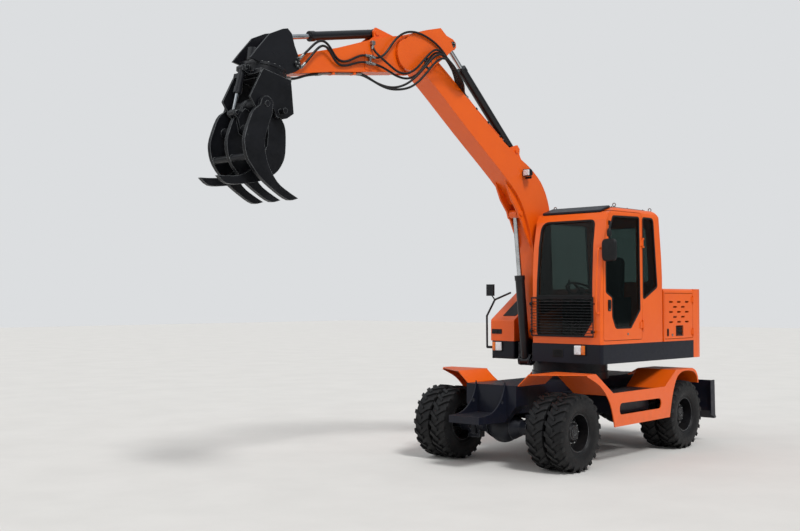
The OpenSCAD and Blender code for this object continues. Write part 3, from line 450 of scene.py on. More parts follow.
def hard_chrome():
    """Hard chrome on a ground cylinder rod: a mirror with a thin film of oil drawn along it."""
    shader = {"Metallic": 1.0, "Roughness": 0.14}
    made, tree, bsdf = new_mottled("hard_chrome_rod", 160, 0.35, 0.7, "#C3C7CB", "#A9ABAC", **shader)
    vary_roughness(tree, bsdf, patches(tree, 60, 0.2, 0.8), 0.10, 0.24)
    return made


def zinc_plate():
    """Zinc-plated steel of bolts, fittings and pins: a pale grey metal, dull and slightly mottled."""
    shader = {"Metallic": 1.0, "Roughness": 0.42}
    return new_mottled("zinc_plated_steel", 16, 0.3, 0.7, "#A8AAA9", "#7F807E", **shader)[0]


def tyre_rubber():
    """Carbon-black rubber moulded in a steel mould, driven on concrete: dull, with pale dust in the tread."""
    made, tree, bsdf = new_material("moulded_tyre_rubber", Roughness=0.55, IOR=1.5, Specular_IOR_Level=0.26)
    body = mixed(tree, patches(tree, 70, 0.3, 0.7), linear("#0F0F11"), linear("#161617"))
    dust = times(tree, patches(tree, 34, 0.42, 0.72, 5.0, 4.0), 0.06)
    tree.links.new(mixed(tree, dust, body, linear("#4A4641")), bsdf.inputs["Base Color"])
    vary_roughness(tree, bsdf, patches(tree, 20, 0.2, 0.8), 0.42, 0.66)
    tree.links.new(rounded_edges(tree, 4, bumps(tree, 5, 0.5)), bsdf.inputs["Normal"])
    return made


def tinted_glass():
    """Tinted safety glass of the cab: flat drawn glass with a grey-green body tint and a faint film of dust."""
    shader = {"Roughness": 0.03, "IOR": 1.52}
    made, tree, bsdf = new_mottled("tinted_safety_glass", 320, 0.35, 0.75, "#141C1C", "#1A2323", **shader)
    # Most light goes straight through the tint, and the rest meets the polished face
    tint = add_node(tree, "ShaderNodeBsdfTransparent", {"Color": linear("#B9C4C1")})
    both = add_node(tree, "ShaderNodeMixShader", {0: 0.22, 1: tint.outputs[0], 2: bsdf.outputs[0]})
    tree.links.new(both.outputs[0], tree.nodes["Material Output"].inputs["Surface"])
    return made


def moulded_plastic(name="moulded_black_plastic", colour="#111214", shade="#18191B", roughness=0.5):
    """ABS moulded in a grained tool: near black, satin, with a leather-like grain."""
    shader = {"Roughness": roughness, "IOR": 1.5, "Specular_IOR_Level": 0.26}
    made, tree, bsdf = new_mottled(name, 60, 0.3, 0.7, colour, shade, **shader)
    tree.links.new(rounded_edges(tree, 3, bumps(tree, 3, 0.2)), bsdf.inputs["Normal"])
    return made


def hose_rubber():
    """Wire-braided hydraulic hose with a wrapped rubber cover: satin black with a fine cloth mark."""
    shader = {"Roughness": 0.42, "IOR": 1.5, "Specular_IOR_Level": 0.3}
    made, tree, bsdf = new_mottled("wrapped_hose_rubber", 90, 0.35, 0.7, "#121214", "#1B1B1C", **shader)
    tree.links.new(bumps(tree, 4, 0.3), bsdf.inputs["Normal"])
    return made


def silvered_glass():
    """Mirror glass silvered on its back: a clean mirror with a faint grey cast."""
    shader = {"Metallic": 1.0, "Roughness": 0.03}
    return new_mottled("silvered_mirror_glass", 120, 0.4, 0.8, "#D8DCDE", "#C6CBCE", **shader)[0]


def lamp_glass(name, colour):
    """Pressed glass or acrylic of a lamp lens: clear or amber with pressed ribs over a bright reflector."""
    shader = {"Roughness": 0.12, "IOR": 1.49, "Coat_Weight": 0.8, "Coat_Roughness": 0.04}
    made, tree, bsdf = new_mottled(name, 26, 0.3, 0.7, *colour, **shader)
    # The ribs are 12 mm apart and 1 mm deep
    ribs = {"Vector": stored_place(tree), "Scale": 1000 / 12 / math.tau, "Distortion": 0.0}
    wave = add_node(tree, "ShaderNodeTexWave", ribs, bands_direction="DIAGONAL")
    bump = add_node(tree, "ShaderNodeBump", {"Height": wave.outputs["Fac"], "Distance": 0.001})
    tree.links.new(bump.outputs["Normal"], bsdf.inputs["Normal"])
    return made


FINISHES = {}


def make_finishes(look):
    """Makes each finish once, with the colours of the panel."""
    FINISHES.update(
        orange=sprayed_enamel("orange_sprayed_enamel", hex_code(look.orange), hex_code(look.orange_deep)),
        belt=sprayed_enamel("blue_black_sprayed_enamel", hex_code(look.dark), "#12151E", 0.34, 0.9, 0.2, 0.22),
        cast=cast_enamel("blue_black_cast_enamel", "#12151D", "#181B24"),
        cylinder=sprayed_enamel("black_cylinder_enamel", "#101115", "#15161B", 0.30, 0.6, 0.1, 0.35),
        grapple=cast_enamel("worn_black_plate_enamel", "#0C0D10", "#15161A", 0.34, 0.22),
        rim=cast_enamel("black_rim_enamel", "#0E0E10", "#17171A", 0.32),
        chrome=hard_chrome(),
        zinc=zinc_plate(),
        rubber=tyre_rubber(),
        glass=tinted_glass(),
        plastic=moulded_plastic(),
        seal=moulded_plastic("extruded_seal_rubber", "#101112", "#161718", 0.6),
        hose=hose_rubber(),
        # The seat's coated cloth has a pressed grain like the mouldings', but is duller
        cloth=moulded_plastic("woven_seat_cloth", "#26272B", "#2E3035", 0.85),
        silvered=silvered_glass(),
        lens=lamp_glass("pressed_clear_lens", ("#E8ECEE", "#CDD4D8")),
        amber=lamp_glass("pressed_amber_lens", ("#E87A12", "#D05F08")),
    )


# The finish of each CAD node
NODE_FINISH = {
    "orange": (
        "fender_left fender_right counterweight engine_hood engine_lid side_door tank_body "
        "cab_frame cab_door boom arm"
    ),
    "belt": "belt chassis_frame blade",
    "cast": "front_axle rear_axle drive_line knuckle_left knuckle_right upper_frame engine_block",
    "cylinder": (
        "boom_barrel arm_barrel tilt_barrel blade_barrel jaw_barrels_a jaw_barrels_b "
        "handrails front_guard head"
    ),
    "grapple": "grapple_body jaw_three jaw_two",
    "rim": "rims_front_left rims_front_right rims_rear_left rims_rear_right",
    "chrome": "boom_rod arm_rod tilt_rod blade_rod jaw_rods_a jaw_rods_b",
    "rubber": "tyres_front_left tyres_front_right tyres_rear_left tyres_rear_right",
    "glass": "cab_glass door_glass",
    "plastic": "seat controls mirrors",
    "lens": "lamps",
}


# The panel's values


COLOUR = {"subtype": "COLOR_GAMMA", "min": 0, "max": 1}


class ExcavatorLook(bpy.types.PropertyGroup):
    """Colours that a user would change."""

    orange: FloatVectorProperty(
        name="Orange enamel",
        description="Colour of the cab, hood, boom and fenders",
        default=(0.905, 0.37, 0.012),
        **COLOUR,
    )
    orange_deep: FloatVectorProperty(
        name="Orange enamel, deep",
        description="Deeper patches of the orange enamel",
        default=(0.885, 0.35, 0.01),
        **COLOUR,
    )
    dark: FloatVectorProperty(
        name="Blue-black enamel",
        description="Colour of the belt, chassis and blade",
        default=(0.075, 0.088, 0.135),
        **COLOUR,
    )


class ExcavatorTyre(bpy.types.PropertyGroup):
    """Sizes of the tyres' tread."""

    diameter: FloatProperty(
        name="Diameter", description="Outer diameter of a tyre", unit="LENGTH", default=0.865, min=0.5, max=1.5
    )
    width: FloatProperty(
        name="Width", description="Width of a tyre", unit="LENGTH", default=0.226, min=0.1, max=0.5
    )
    lugs: IntProperty(name="Lugs", description="Lugs in one row round a tyre", default=22, min=8, max=60)
    depth: FloatProperty(
        name="Lug depth", description="Depth of the lugs", unit="LENGTH", default=0.02, min=0.005, max=0.05
    )
    rim: FloatProperty(
        name="Rim diameter", description="Diameter of the bead seat", unit="LENGTH", default=0.44, min=0.2, max=0.8
    )


# Camera and stage

# The camera stands where the photograph was taken, in metres in the frame
CAMERA_AT = Vector((9.733, 7.133, 1.900))
CAMERA_LOOK = Vector((-0.7516, -0.6596, 0))
CAMERA_PITCH = 1.875
CAMERA_LENS = 47.0


class EXCAVATOR_OT_camera(bpy.types.Operator):
    """Stands the camera where the photograph was taken"""

    bl_idname = "excavator.camera"
    bl_label = "Camera"

    def execute(self, context):
        """Makes the camera and the scene's view settings."""
        lens = bpy.data.cameras.new("camera")
        lens.lens = CAMERA_LENS
        lens.sensor_width = 36
        camera = bpy.data.objects.new("camera", lens)
        context.scene.collection.objects.link(camera)
        level = CAMERA_LOOK.normalized()
        pitch = math.radians(CAMERA_PITCH)
        look = level * math.cos(pitch) + Vector((0, 0, math.sin(pitch)))
        camera.rotation_mode = "QUATERNION"
        camera.rotation_quaternion = look.to_track_quat("-Z", "Y")
        camera.location = CAMERA_AT
        context.scene.camera = camera
        context.scene.view_settings.view_transform = "Standard"
        return {"FINISHED"}


def studio_sky(tree):
    """A pale backdrop for the camera and the glass, a darker surround for gloss, and a soft light for the rest."""
    path = add_node(tree, "ShaderNodeLightPath")
    toward = add_node(tree, "ShaderNodeTexCoord").outputs["Generated"]
    height = add_node(tree, "ShaderNodeSeparateXYZ", {"Vector": toward}).outputs["Z"]
    rise = add_node(tree, "ShaderNodeMapRange", {"Value": height, "From Min": -0.1, "From Max": 0.75})
    surround = mixed(tree, rise.outputs["Result"], linear("#4B4E50"), linear("#E4EAF0"))
    light = add_node(tree, "ShaderNodeBackground", {"Color": linear("#F1F3F6"), "Strength": 0.60})
    gloss = add_node(tree, "ShaderNodeBackground", {"Color": surround, "Strength": 0.75})
    seen = add_node(tree, "ShaderNodeBackground", {"Color": linear("#DCDEE0"), "Strength": 1.0})
    glossy = path.outputs["Is Glossy Ray"]
    lit = add_node(tree, "ShaderNodeMixShader", {0: glossy, 1: light.outputs[0], 2: gloss.outputs[0]})
    watched = times(tree, path.outputs["Is Camera Ray"], path.outputs["Is Transmission Ray"], "MAXIMUM")
    return add_node(tree, "ShaderNodeMixShader", {0: watched, 1: lit.outputs[0], 2: seen.outputs[0]})


class EXCAVATOR_OT_studio(bpy.types.Operator):
    """Lays a pale floor and sets a soft studio light"""

    bl_idname = "excavator.studio"
    bl_label = "Studio"

    def execute(self, context):
        """Makes the floor, the world and the lamps."""
        shape = bmesh.new()
        bmesh.ops.create_grid(shape, x_segments=1, y_segments=1, size=60)
        floor = bpy.data.objects.new("studio_floor", mesh_from(shape, "studio_floor"))
        context.scene.collection.objects.link(floor)
        made, tree, bsdf = new_material("pale_studio_floor", Roughness=0.9)
        tone = mixed(tree, patches(tree, 900, 0.2, 0.8), linear("#D9D7D3"), linear("#D3D1CD"))
        tree.links.new(tone, bsdf.inputs["Base Color"])
        floor.data.materials.append(made)

        world = bpy.data.worlds.new("studio")
        world.use_nodes = True
        context.scene.world = world
        tree = world.node_tree
        tree.nodes.clear()
        output = add_node(tree, "ShaderNodeOutputWorld")
        sky = studio_sky(tree)
        tree.links.new(sky.outputs[0], output.inputs["Surface"])

        # The key comes from the machine's left and above, as the sun does in the photograph
        for name, power, angle, toward in (
            ("key", 2.1, 14, Vector((-0.35, -0.78, -0.95))),
            ("fill", 0.55, 60, Vector((-0.8, 0.55, -0.6))),
        ):
            lamp = bpy.data.lights.new(name, "SUN")
            lamp.energy = power
            lamp.angle = math.radians(angle)
            made = bpy.data.objects.new(name, lamp)
            context.scene.collection.objects.link(made)
            made.rotation_mode = "QUATERNION"
            made.rotation_quaternion = toward.to_track_quat("-Z", "Y")
        return {"FINISHED"}


# The eye of each rod: its pin, how far in metres its painted end reaches, and its finish
ROD_EYES = {
    "boom_rod": (on_boom(712, 0, 2968), 0.085, "orange"),
    "arm_rod": (on_boom(1982, 0, 4853), 0.080, "cylinder"),
    "tilt_rod": (on_boom(4500, 0, 4495), 0.072, "cylinder"),
    "blade_rod": (on_chassis(-1965, 0, 690), 0.056, "cylinder"),
    "jaw_rods_a": (on_grapple(270, 0, -500), 0.050, "cylinder"),
    "jaw_rods_b": (on_grapple(-270, 0, -500), 0.050, "cylinder"),
}


class EXCAVATOR_OT_finishes(bpy.types.Operator):
    """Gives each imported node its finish"""

    bl_idname = "excavator.finishes"
    bl_label = "Finishes"

    def execute(self, context):
        """Puts a material on every CAD node."""
        make_finishes(context.scene.excavator_look)
        for finish, names in NODE_FINISH.items():
            for name in names.split():
                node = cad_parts[name]
                node.data.materials.clear()
                node.data.materials.append(FINISHES[finish])
        for name, (pin, reach, paint) in ROD_EYES.items():
            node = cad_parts[name]
            node.data.materials.append(FINISHES[paint])
            across = Vector((0, 1, 0)) if name == "blade_rod" else LEFT
            for face in node.data.polygons:
                away = node.matrix_world @ face.center - pin
                if (away - across * away.dot(across)).length < reach:
                    face.material_index = 1
        return {"FINISHED"}


# Tyres


def tyre_profile(tyre):
    """Half section of the tyre as (radius, distance from its middle), from bead to crown, without lugs."""
    half = tyre.width / 2
    crown = tyre.diameter / 2 - tyre.depth
    bead = tyre.rim / 2
    return [
        (bead - 0.006, half * 0.66),
        (bead + 0.006, half * 0.80),
        (bead + 0.020, half * 0.86),
        (bead + 0.024, half * 0.835),
        (bead + 0.055, half * 0.955),
        (bead + 0.090, half * 0.995),
        (crown - 0.062, half * 0.985),
        (crown - 0.034, half * 0.955),
        (crown - 0.012, half * 0.86),
        (crown - 0.003, half * 0.55),
        (crown, 0.0),
    ]


def add_tyre(shape, tyre, centre):
    """Adds a tyre: its carcass turned round the axle, and two rows of angled lugs that meet by turns."""
    half = tyre_profile(tyre)
    section = half + [(radius, -across) for radius, across in half[-2::-1]]
    sides = 96
    axle = Vector((0, 1, 0))
    rings = []
    for k in range(sides):
        turn = math.tau * k / sides
        out = Vector((math.cos(turn), 0, math.sin(turn)))
        rings.append([centre + out * radius + axle * across for radius, across in section])
    rows = [[shape.verts.new(p) for p in ring] for ring in rings]
    for one, two in zip(rows, rows[1:] + rows[:1]):
        for k in range(len(section) - 1):
            shape.faces.new((one[k], one[k + 1], two[k + 1], two[k]))
    pitch = math.tau / tyre.lugs
    crown = tyre.diameter / 2
    foot = crown - tyre.depth - 0.004
    # Stations of a lug from its tip near the middle to the shoulder and down the side wall:
    # share of the half width, lag in pitches, half length in pitches, top radius, foot radius
    stations = (
        (-0.10, 0.00, 0.13, crown, foot),
        (0.22, 0.20, 0.17, crown, foot),
        (0.50, 0.42, 0.19, crown - 0.001, foot),
        (0.78, 0.60, 0.21, crown - 0.004, foot - 0.004),
        (0.96, 0.68, 0.22, crown - 0.014, foot - 0.020),
        (1.00, 0.70, 0.21, crown - 0.050, foot - 0.045),
    )
    for side in (1, -1):
        for k in range(tyre.lugs):
            start = pitch * (k + (0.5 if side < 0 else 0.0))
            rings = []
            for share, lag, length, top, low in stations:
                middle = start + lag * pitch
                y = side * share * tyre.width / 2
                corners = []
                for ahead, radius in ((-1, low), (-0.86, top), (0.86, top), (1, low)):
                    turn = middle + ahead * length * pitch
                    inset = 0.004 if radius == low and share > 0.99 else 0.0
                    out = Vector((math.cos(turn), 0, math.sin(turn)))
                    corners.append(centre + out * radius + axle * (y - side * inset))
                rings.append(corners)
            add_loft(shape, rings)


class EXCAVATOR_OT_tyres(bpy.types.Operator):
    """Moulds the twin tyres with their angled lugs"""

    bl_idname = "excavator.tyres"
    bl_label = "Tyres"

    def execute(self, context):
        """Makes one piece for each pair of tyres."""
        tyre = context.scene.excavator_tyre
        for end, x in AXLE_X.items():
            for side, sign in (("left", 1), ("right", -1)):
                shape = bmesh.new()
                for y in TWIN_Y:
                    add_tyre(shape, tyre, Vector((x + MACHINE_X, sign * y, AXLE_Z)))
                name = f"tyres_{end}_{side}"
                made = piece(f"lugged_{name}", shape, f"wheel_{end}_{side}", "rubber", 30)
                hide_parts(name)
        return {"FINISHED"}


# Hoses and steel lines

# Routes in the boom's plane, as [forward, left, up] in metres: from the steel lines over the elbow to the arm
ARM_HOSES = (
    (
        (1.7643, 0.061, 4.2711), (1.8134, 0.061, 4.3055), (1.950, 0.160, 4.402), (2.060, 0.195, 4.484),
        (2.170, 0.212, 4.578), (2.290, 0.222, 4.665), (2.410, 0.226, 4.700), (2.520, 0.228, 4.640),
        (2.640, 0.228, 4.530), (2.760, 0.228, 4.420), (2.900, 0.226, 4.350), (3.035, 0.226, 4.350),
        (3.150, 0.226, 4.396), (3.235, 0.212, 4.448), (3.297, 0.178, 4.505), (3.330, 0.144, 4.560),
        (3.330, 0.144, 4.5998),
    ),
    (
        (1.7643, 0.035, 4.2711), (1.8134, 0.035, 4.3055), (1.950, 0.130, 4.416), (2.060, 0.165, 4.510),
        (2.170, 0.180, 4.604), (2.270, 0.186, 4.665), (2.370, 0.190, 4.680), (2.480, 0.196, 4.610),
        (2.580, 0.198, 4.500), (2.700, 0.196, 4.380), (2.840, 0.192, 4.310), (3.000, 0.184, 4.312),
        (3.140, 0.164, 4.364), (3.250, 0.146, 4.398), (3.3448, 0.146, 4.398),
    ),
    (
        (1.7643, 0.009, 4.2711), (1.8134, 0.009, 4.3055), (1.950, 0.102, 4.434), (2.050, 0.145, 4.532),
        (2.150, 0.170, 4.625), (2.260, 0.176, 4.718), (2.400, 0.178, 4.790), (2.560, 0.178, 4.835),
        (2.700, 0.178, 4.848), (2.840, 0.176, 4.825), (2.960, 0.174, 4.760), (3.060, 0.172, 4.665),
        (3.130, 0.168, 4.572), (3.200, 0.156, 4.500), (3.270, 0.146, 4.471), (3.3448, 0.146, 4.471),
    ),
    (
        (1.7643, 0.113, 4.2711), (1.8134, 0.113, 4.3055), (1.940, 0.215, 4.372), (2.050, 0.258, 4.440),
        (2.160, 0.280, 4.520), (2.290, 0.292, 4.590), (2.420, 0.296, 4.585), (2.540, 0.296, 4.500),
        (2.660, 0.294, 4.380), (2.790, 0.288, 4.262), (2.930, 0.265, 4.180), (3.100, 0.215, 4.150),
        (3.205, 0.170, 4.172), (3.300, 0.125, 4.222), (3.380, 0.100, 4.266), (3.440, 0.092, 4.2815),
        (3.500, 0.092, 4.2775),
    ),
    (
        (1.7643, 0.087, 4.2711), (1.8134, 0.087, 4.3055), (1.945, 0.188, 4.386), (2.055, 0.228, 4.462),
        (2.165, 0.248, 4.548), (2.285, 0.258, 4.628), (2.410, 0.262, 4.640), (2.530, 0.262, 4.565),
        (2.650, 0.260, 4.450), (2.775, 0.254, 4.335), (2.900, 0.236, 4.240), (3.020, 0.195, 4.188),
        (3.120, 0.150, 4.184), (3.215, 0.110, 4.210), (3.310, 0.080, 4.249), (3.385, 0.066, 4.275),
        (3.440, 0.062, 4.2815), (3.500, 0.062, 4.2775),
    ),
)
# From the arm to the head: two over its pin and two below it
HEAD_HOSES = (
    (
        (3.4002, 0.146, 4.471), (3.470, 0.146, 4.471), (3.560, 0.142, 4.438), (3.660, 0.137, 4.384),
        (3.750, 0.134, 4.356), (3.835, 0.136, 4.370), (3.900, 0.142, 4.428), (3.960, 0.146, 4.490),
        (4.040, 0.150, 4.522), (4.120, 0.152, 4.494), (4.185, 0.155, 4.442), (4.243, 0.159, 4.388),
        (4.297, 0.163, 4.341), (4.346, 0.166, 4.297),
    ),
    (
        (3.4002, 0.146, 4.398), (3.470, 0.146, 4.398), (3.560, 0.142, 4.376), (3.660, 0.137, 4.336),
        (3.750, 0.136, 4.312), (3.840, 0.146, 4.320), (3.912, 0.160, 4.372), (3.975, 0.170, 4.436),
        (4.045, 0.174, 4.470), (4.112, 0.176, 4.440), (4.170, 0.175, 4.385), (4.224, 0.172, 4.322),
        (4.276, 0.170, 4.264), (4.328, 0.168, 4.214),
    ),
    (
        (4.020, 0.092, 4.1935), (4.120, 0.092, 4.1737), (4.230, 0.092, 4.142), (4.350, 0.090, 4.095),
        (4.458, 0.084, 4.084),
    ),
    (
        (4.020, 0.062, 4.1935), (4.120, 0.062, 4.1737), (4.230, 0.062, 4.142), (4.350, 0.058, 4.095),
        (4.455, 0.052, 4.084),
    ),
)
HOSE_RADIUS = 0.0125


def laid_path(points, spacing=0.014, passes=14):
    """A hose's line along its route: evened out to equal steps and relaxed, with both ends held straight."""
    line = smooth_path(points, 10)
    count = round(path_length(line) / spacing)
    step = path_length(line) / count
    even, left = [line[0]], step
    for a, b in zip(line, line[1:]):
        gap, done = (b - a).length, 0.0
        while gap - done >= left and len(even) < count:
            done += left
            even.append(a.lerp(b, done / gap))
            left = step
        left -= gap - done
    even.append(line[-1])
    for _ in range(passes):
        inner = [(a + 2 * b + c) / 4 for a, b, c in zip(even[1:], even[2:], even[3:])]
        even = [*even[:2], *inner[: len(even) - 4], *even[-2:]]
    return even


def add_ferrule(shape, at, toward):
    """A crimped end on a hose with its union nut: toward points along the hose."""
    toward = toward.normalized()
    sleeve = [(0.0005, 0.0136), (0.002, 0.0150), (0.004, 0.0162)]
    for along in (0.009, 0.017, 0.025, 0.033):
        sleeve += [(along, 0.0162), (along + 0.001, 0.0151), (along + 0.003, 0.0151)]
    sleeve += [(0.044, 0.0162), (0.046, 0.0136)]
    nut = [(-0.018, 0.0140), (-0.016, 0.0165), (-0.002, 0.0165), (0.0, 0.0140)]
    add_turned(shape, at, toward, sleeve, 20)
    add_turned(shape, at, toward, nut, 6)


class EXCAVATOR_OT_hoses(bpy.types.Operator):
    """Lays the hydraulic hoses over the boom's elbow and the arm's end"""

    bl_idname = "excavator.hoses"
    bl_label = "Hoses"

    def execute(self, context):
        """Makes one cord for each hose and the crimped ends they are held by."""
        # Columns: name, routes, the two bodies, and where the hose leaves the one and is held by the other
        groups = (
            ("arm_hose", ARM_HOSES, ("boom", "arm"), ((1.95, 4.40), (3.20, 4.45))),
            ("head_hose", HEAD_HOSES[:2], ("arm", "head"), ((3.62, 4.40), (4.28, 4.25))),
            ("lower_hose", HEAD_HOSES[2:], ("arm", "head"), ((4.14, 4.17), (4.42, 4.09))),
        )
        for label, routes, bodies, (start, end) in groups:
            ends = [bmesh.new(), bmesh.new()]
            for k, route in enumerate(routes):
                path = laid_path([UPPER @ Vector((x, y + BOOM_Y / 1000, z)) for x, y, z in route])
                shape = bmesh.new()
                add_tube(shape, path, HOSE_RADIUS, 14)
                mesh = mesh_from(shape, label)
                mesh.materials.append(FINISHES["hose"])
                mesh.shade_smooth()
                hose = bpy.data.objects.new(f"{label}_{k + 1}", mesh)
                context.scene.collection.objects.link(hose)
                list(bodies)
                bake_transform(hose)
                tuple(path[0])
                path_length(path)
                [tuple(p) for p in path]
                add_ferrule(ends[0], path[0], path[1] - path[0])
                add_ferrule(ends[1], path[-1], path[-2] - path[-1])
            for body, shape in zip(bodies, ends):
                piece(f"{label}_ends_on_{body}", shape, body, "zinc")
        return {"FINISHED"}


# Centre line of the steel lines over the boom's back, as [forward, up]
BOOM_LINE = ((1080, 3832), (1161, 3876), (1600, 4156), (1752, 4262.5))
LINE_LEFT = (9, 35, 61, 87, 113)
# The two lines below the arm
ARM_LINE = ((3500, 4277.5), (3900, 4217), (4012, 4195))


def tilted(x, z, degrees, middle):
    """A placing function in the boom's plane, tilted about a point: (along, across the boom, away from it)."""
    turn = Matrix.Rotation(math.radians(-degrees), 4, "Y")

    def place(a, b, level):
        return UPPER @ (mm(x, BOOM_Y + middle, z) + (turn @ mm(a, b, level)))

    return place


class EXCAVATOR_OT_lines(bpy.types.Operator):
    """Runs the steel lines over the boom, with clamps, tees and ports"""

    bl_idname = "excavator.lines"
    bl_label = "Steel lines"

    def execute(self, context):
        """Makes the lines with their clamps, the tees on the arm and the ports on the head."""
        shape = bmesh.new()
        for y in LINE_LEFT:
            points = [on_boom(x, y, z) for x, z in BOOM_LINE]
            add_tube(shape, smooth_path(points, 3), 0.008, 12)
        # Columns of the clamps: forward, up, slope, half length, height
        clamps = (
            (1086, 3812, 33, 22, 42),
            (1161, 3860, 33, 15, 26),
            (1385, 4003, 32.5, 15, 26),
            (1600, 4140, 33.5, 15, 26),
        )
        for x, z, slope, half, height in clamps:
            place = tilted(x, z, slope, 61)
            add_plate(shape, oblong(-half, -67, half, 64, 5), 1, height, place, 2, 1)
            for b in (-39, -13, 13, 39):
                add_bolt(shape, place(0, b, height), place(0, b, 60) - place(0, b, 20), 0.008, 1)
        piece("boom_steel_lines", shape, "boom", "orange cylinder")

        shape = bmesh.new()
        for z in (4398, 4471):
            add_plate(shape, oblong(3345, z - 17, 3400, z + 17, 6), 120.5, 163, beside_boom, 3)
            add_turned(shape, on_boom(3372, 163, z), LEFT, [(-0.002, 0.014), (0.012, 0.014), (0.014, 0.012)], 6)
        # Columns: outline, how far out it starts and ends, chamfer, material
        for outline, low, high, chamfer, material in (
            (oblong(3362, 4410, 3384, 4459, 3), 130, 158, 3, 0),
            (oblong(3308, 4600, 3352, 4644, 7), 120.5, 164, 3, 0),
            (oblong(3318, 4330, 3428, 4530, 14), 120.3, 127, 1.5, 1),
        ):
            add_plate(shape, outline, low, high, beside_boom, chamfer, material)
        for y in (62, 92):
            add_tube(shape, smooth_path([on_boom(x, y, z) for x, z in ARM_LINE], 4), 0.009, 12)
        for x, z in ((3560, 4282.5), (3860, 4237)):
            add_plate(shape, oblong(-18, -34, 18, 34, 5), 1, 28, tilted(x, z, 171.4, 77), 2, 1)
        piece("arm_tees", shape, "arm", "zinc orange")

        shape = bmesh.new()
        for x, y, z in ((4362, 166, 4283), (4342, 168, 4200)):
            end = y / 1000 - 0.134
            port = [(0, 0.019), (0.010, 0.019), (0.011, 0.0145), (end, 0.0145), (end + 0.002, 0.012)]
            add_turned(shape, on_boom(x, 148.5, z), LEFT, port, 18)
        for x, y in ((4468, 84), (4466, 52)):
            add_turned(shape, on_boom(x, y, 4078), UP, [(0, 0.011), (0.003, 0.014), (0.030, 0.014)], 16)
        piece("head_ports", shape, "head", "zinc")
        return {"FINISHED"}


# Wheels

# The rim's rolled flange and its lock ring on the outer wheel, as (distance out along the axle, radius)
FLANGE = ((0.985, 0.2165), (0.9985, 0.2165), (1.0035, 0.222), (1.0045, 0.231), (1.000, 0.2365), (0.990, 0.2365))
# The cap over the hub, as (distance along the axle, radius)
HUB_CAP = (
    (-0.001, 0.060), (0.006, 0.060), (0.009, 0.057), (0.009, 0.030), (0.005, 0.027), (0.005, 0.012),
    (0.014, 0.011), (0.015, 0.008),
)


class EXCAVATOR_OT_wheels(bpy.types.Operator):
    """Fits the rims with flanges, wheel nuts and hub bolts"""

    bl_idname = "excavator.wheels"
    bl_label = "Wheel fittings"

    def execute(self, context):
        """Makes one set of fittings for each pair of wheels."""
        for end, x in AXLE_X.items():
            for side, sign in (("left", 1), ("right", -1)):
                out = Vector((0, sign, 0))
                centre = Vector((x + MACHINE_X, 0, AXLE_Z))
                across, up = side_axes(out)
                shape = bmesh.new()
                rings = [ring_of(centre + out * y, across, up, radius, 64) for y, radius in FLANGE]
                add_loft(shape, rings, closed=True)
                # Columns: how many bolts, the first one's turn in pitches, distance out, circle, half width
                for count, first, far, circle, size in (
                    (12, 0.5, 0.850, 0.142, 0.0115),
                    (10, 0.0, 0.916, 0.119, 0.006),
                ):
                    for k in range(count):
                        turn = math.tau * (k + first) / count
                        away = math.cos(turn) * across + math.sin(turn) * up
                        add_bolt(shape, centre + out * far + away * circle, out, size, 1)
                add_turned(shape, centre + out * 0.942, out, HUB_CAP, 40)
                name = f"wheel_fittings_{end}_{side}"
                piece(name, shape, f"wheel_{end}_{side}", "rim zinc")
        return {"FINISHED"}


# Cab

# The cab's front and back faces, as (up, forward)
FRONT_LINE = ((1372, 654), (1870, 654), (2150, 640), (2550, 600), (2850, 540), (2935, 500), (3010, 260))
BACK_LINE = ((1372, -735), (2060, -735), (2500, -690), (2930, -640), (3010, -560))
# The cab's left and right sides, in millimetres left of the slew axis. The hood's left side is flush with the cab's
CAB_LEFT = 901
CAB_RIGHT = -111


def forward_at(line, z):
    """How far forward a face of the cab lies at a height."""
    for (z0, x0), (z1, x1) in zip(line, line[1:]):
        if z <= z1:
            return x0 + (x1 - x0) * (z - z0) / (z1 - z0)
    return line[-1][1]


def on_left(a, b, level):
    """A place on the cab's or the hood's left side: forward, up, and how far it stands off."""
    return on_upper(a, CAB_LEFT + level, b)


def on_right(a, b, level):
    """A place on the cab's right side."""
    return on_upper(a, CAB_RIGHT - level, b)


def on_front(a, b, level):
    """A place on the cab's front: left, up, and how far it stands off."""
    return on_upper(forward_at(FRONT_LINE, b) + level, a, b)


def on_back(a, b, level):
    """A place on the cab's back: left, up, and how far it stands off."""
    return on_upper(forward_at(BACK_LINE, b) - level, a, b)


DOOR_WINDOW = (
    (552, 1990, 40), (552, 2360, 120), (460, 2740, 60), (405, 2890, 40), (-172, 2905, 30),
    (-188, 1775, 50), (20, 1565, 40), (350, 1565, 60), (418, 1700, 60), (425, 1930, 40),
)
REAR_WINDOW = ((-268, 1905, 30), (-262, 2905, 30), (-500, 2905, 60), (-590, 2060, 40))
RIGHT_WINDOW = ((540, 1700, 60), (520, 2400, 60), (400, 2860, 60), (-520, 2860, 60), (-600, 1960, 60))
FRONT_WINDOW = ((-20, 1470, 60), (-20, 2840, 110), (735, 2840, 60), (765, 1650, 60), (640, 1470, 60))
BACK_WINDOW = ((60, 2120, 50), (60, 2820, 50), (730, 2820, 50), (730, 2120, 50))


def divided(outline, longest=60):
    """An outline with its long sides cut into short ones, so that it follows a curved face."""
    made = []
    for one, two in zip(outline, outline[1:] + outline[:1]):
        parts = max(1, math.ceil((two - one).length / longest))
        made += [one.lerp(two, k / parts) for k in range(parts)]
    return made


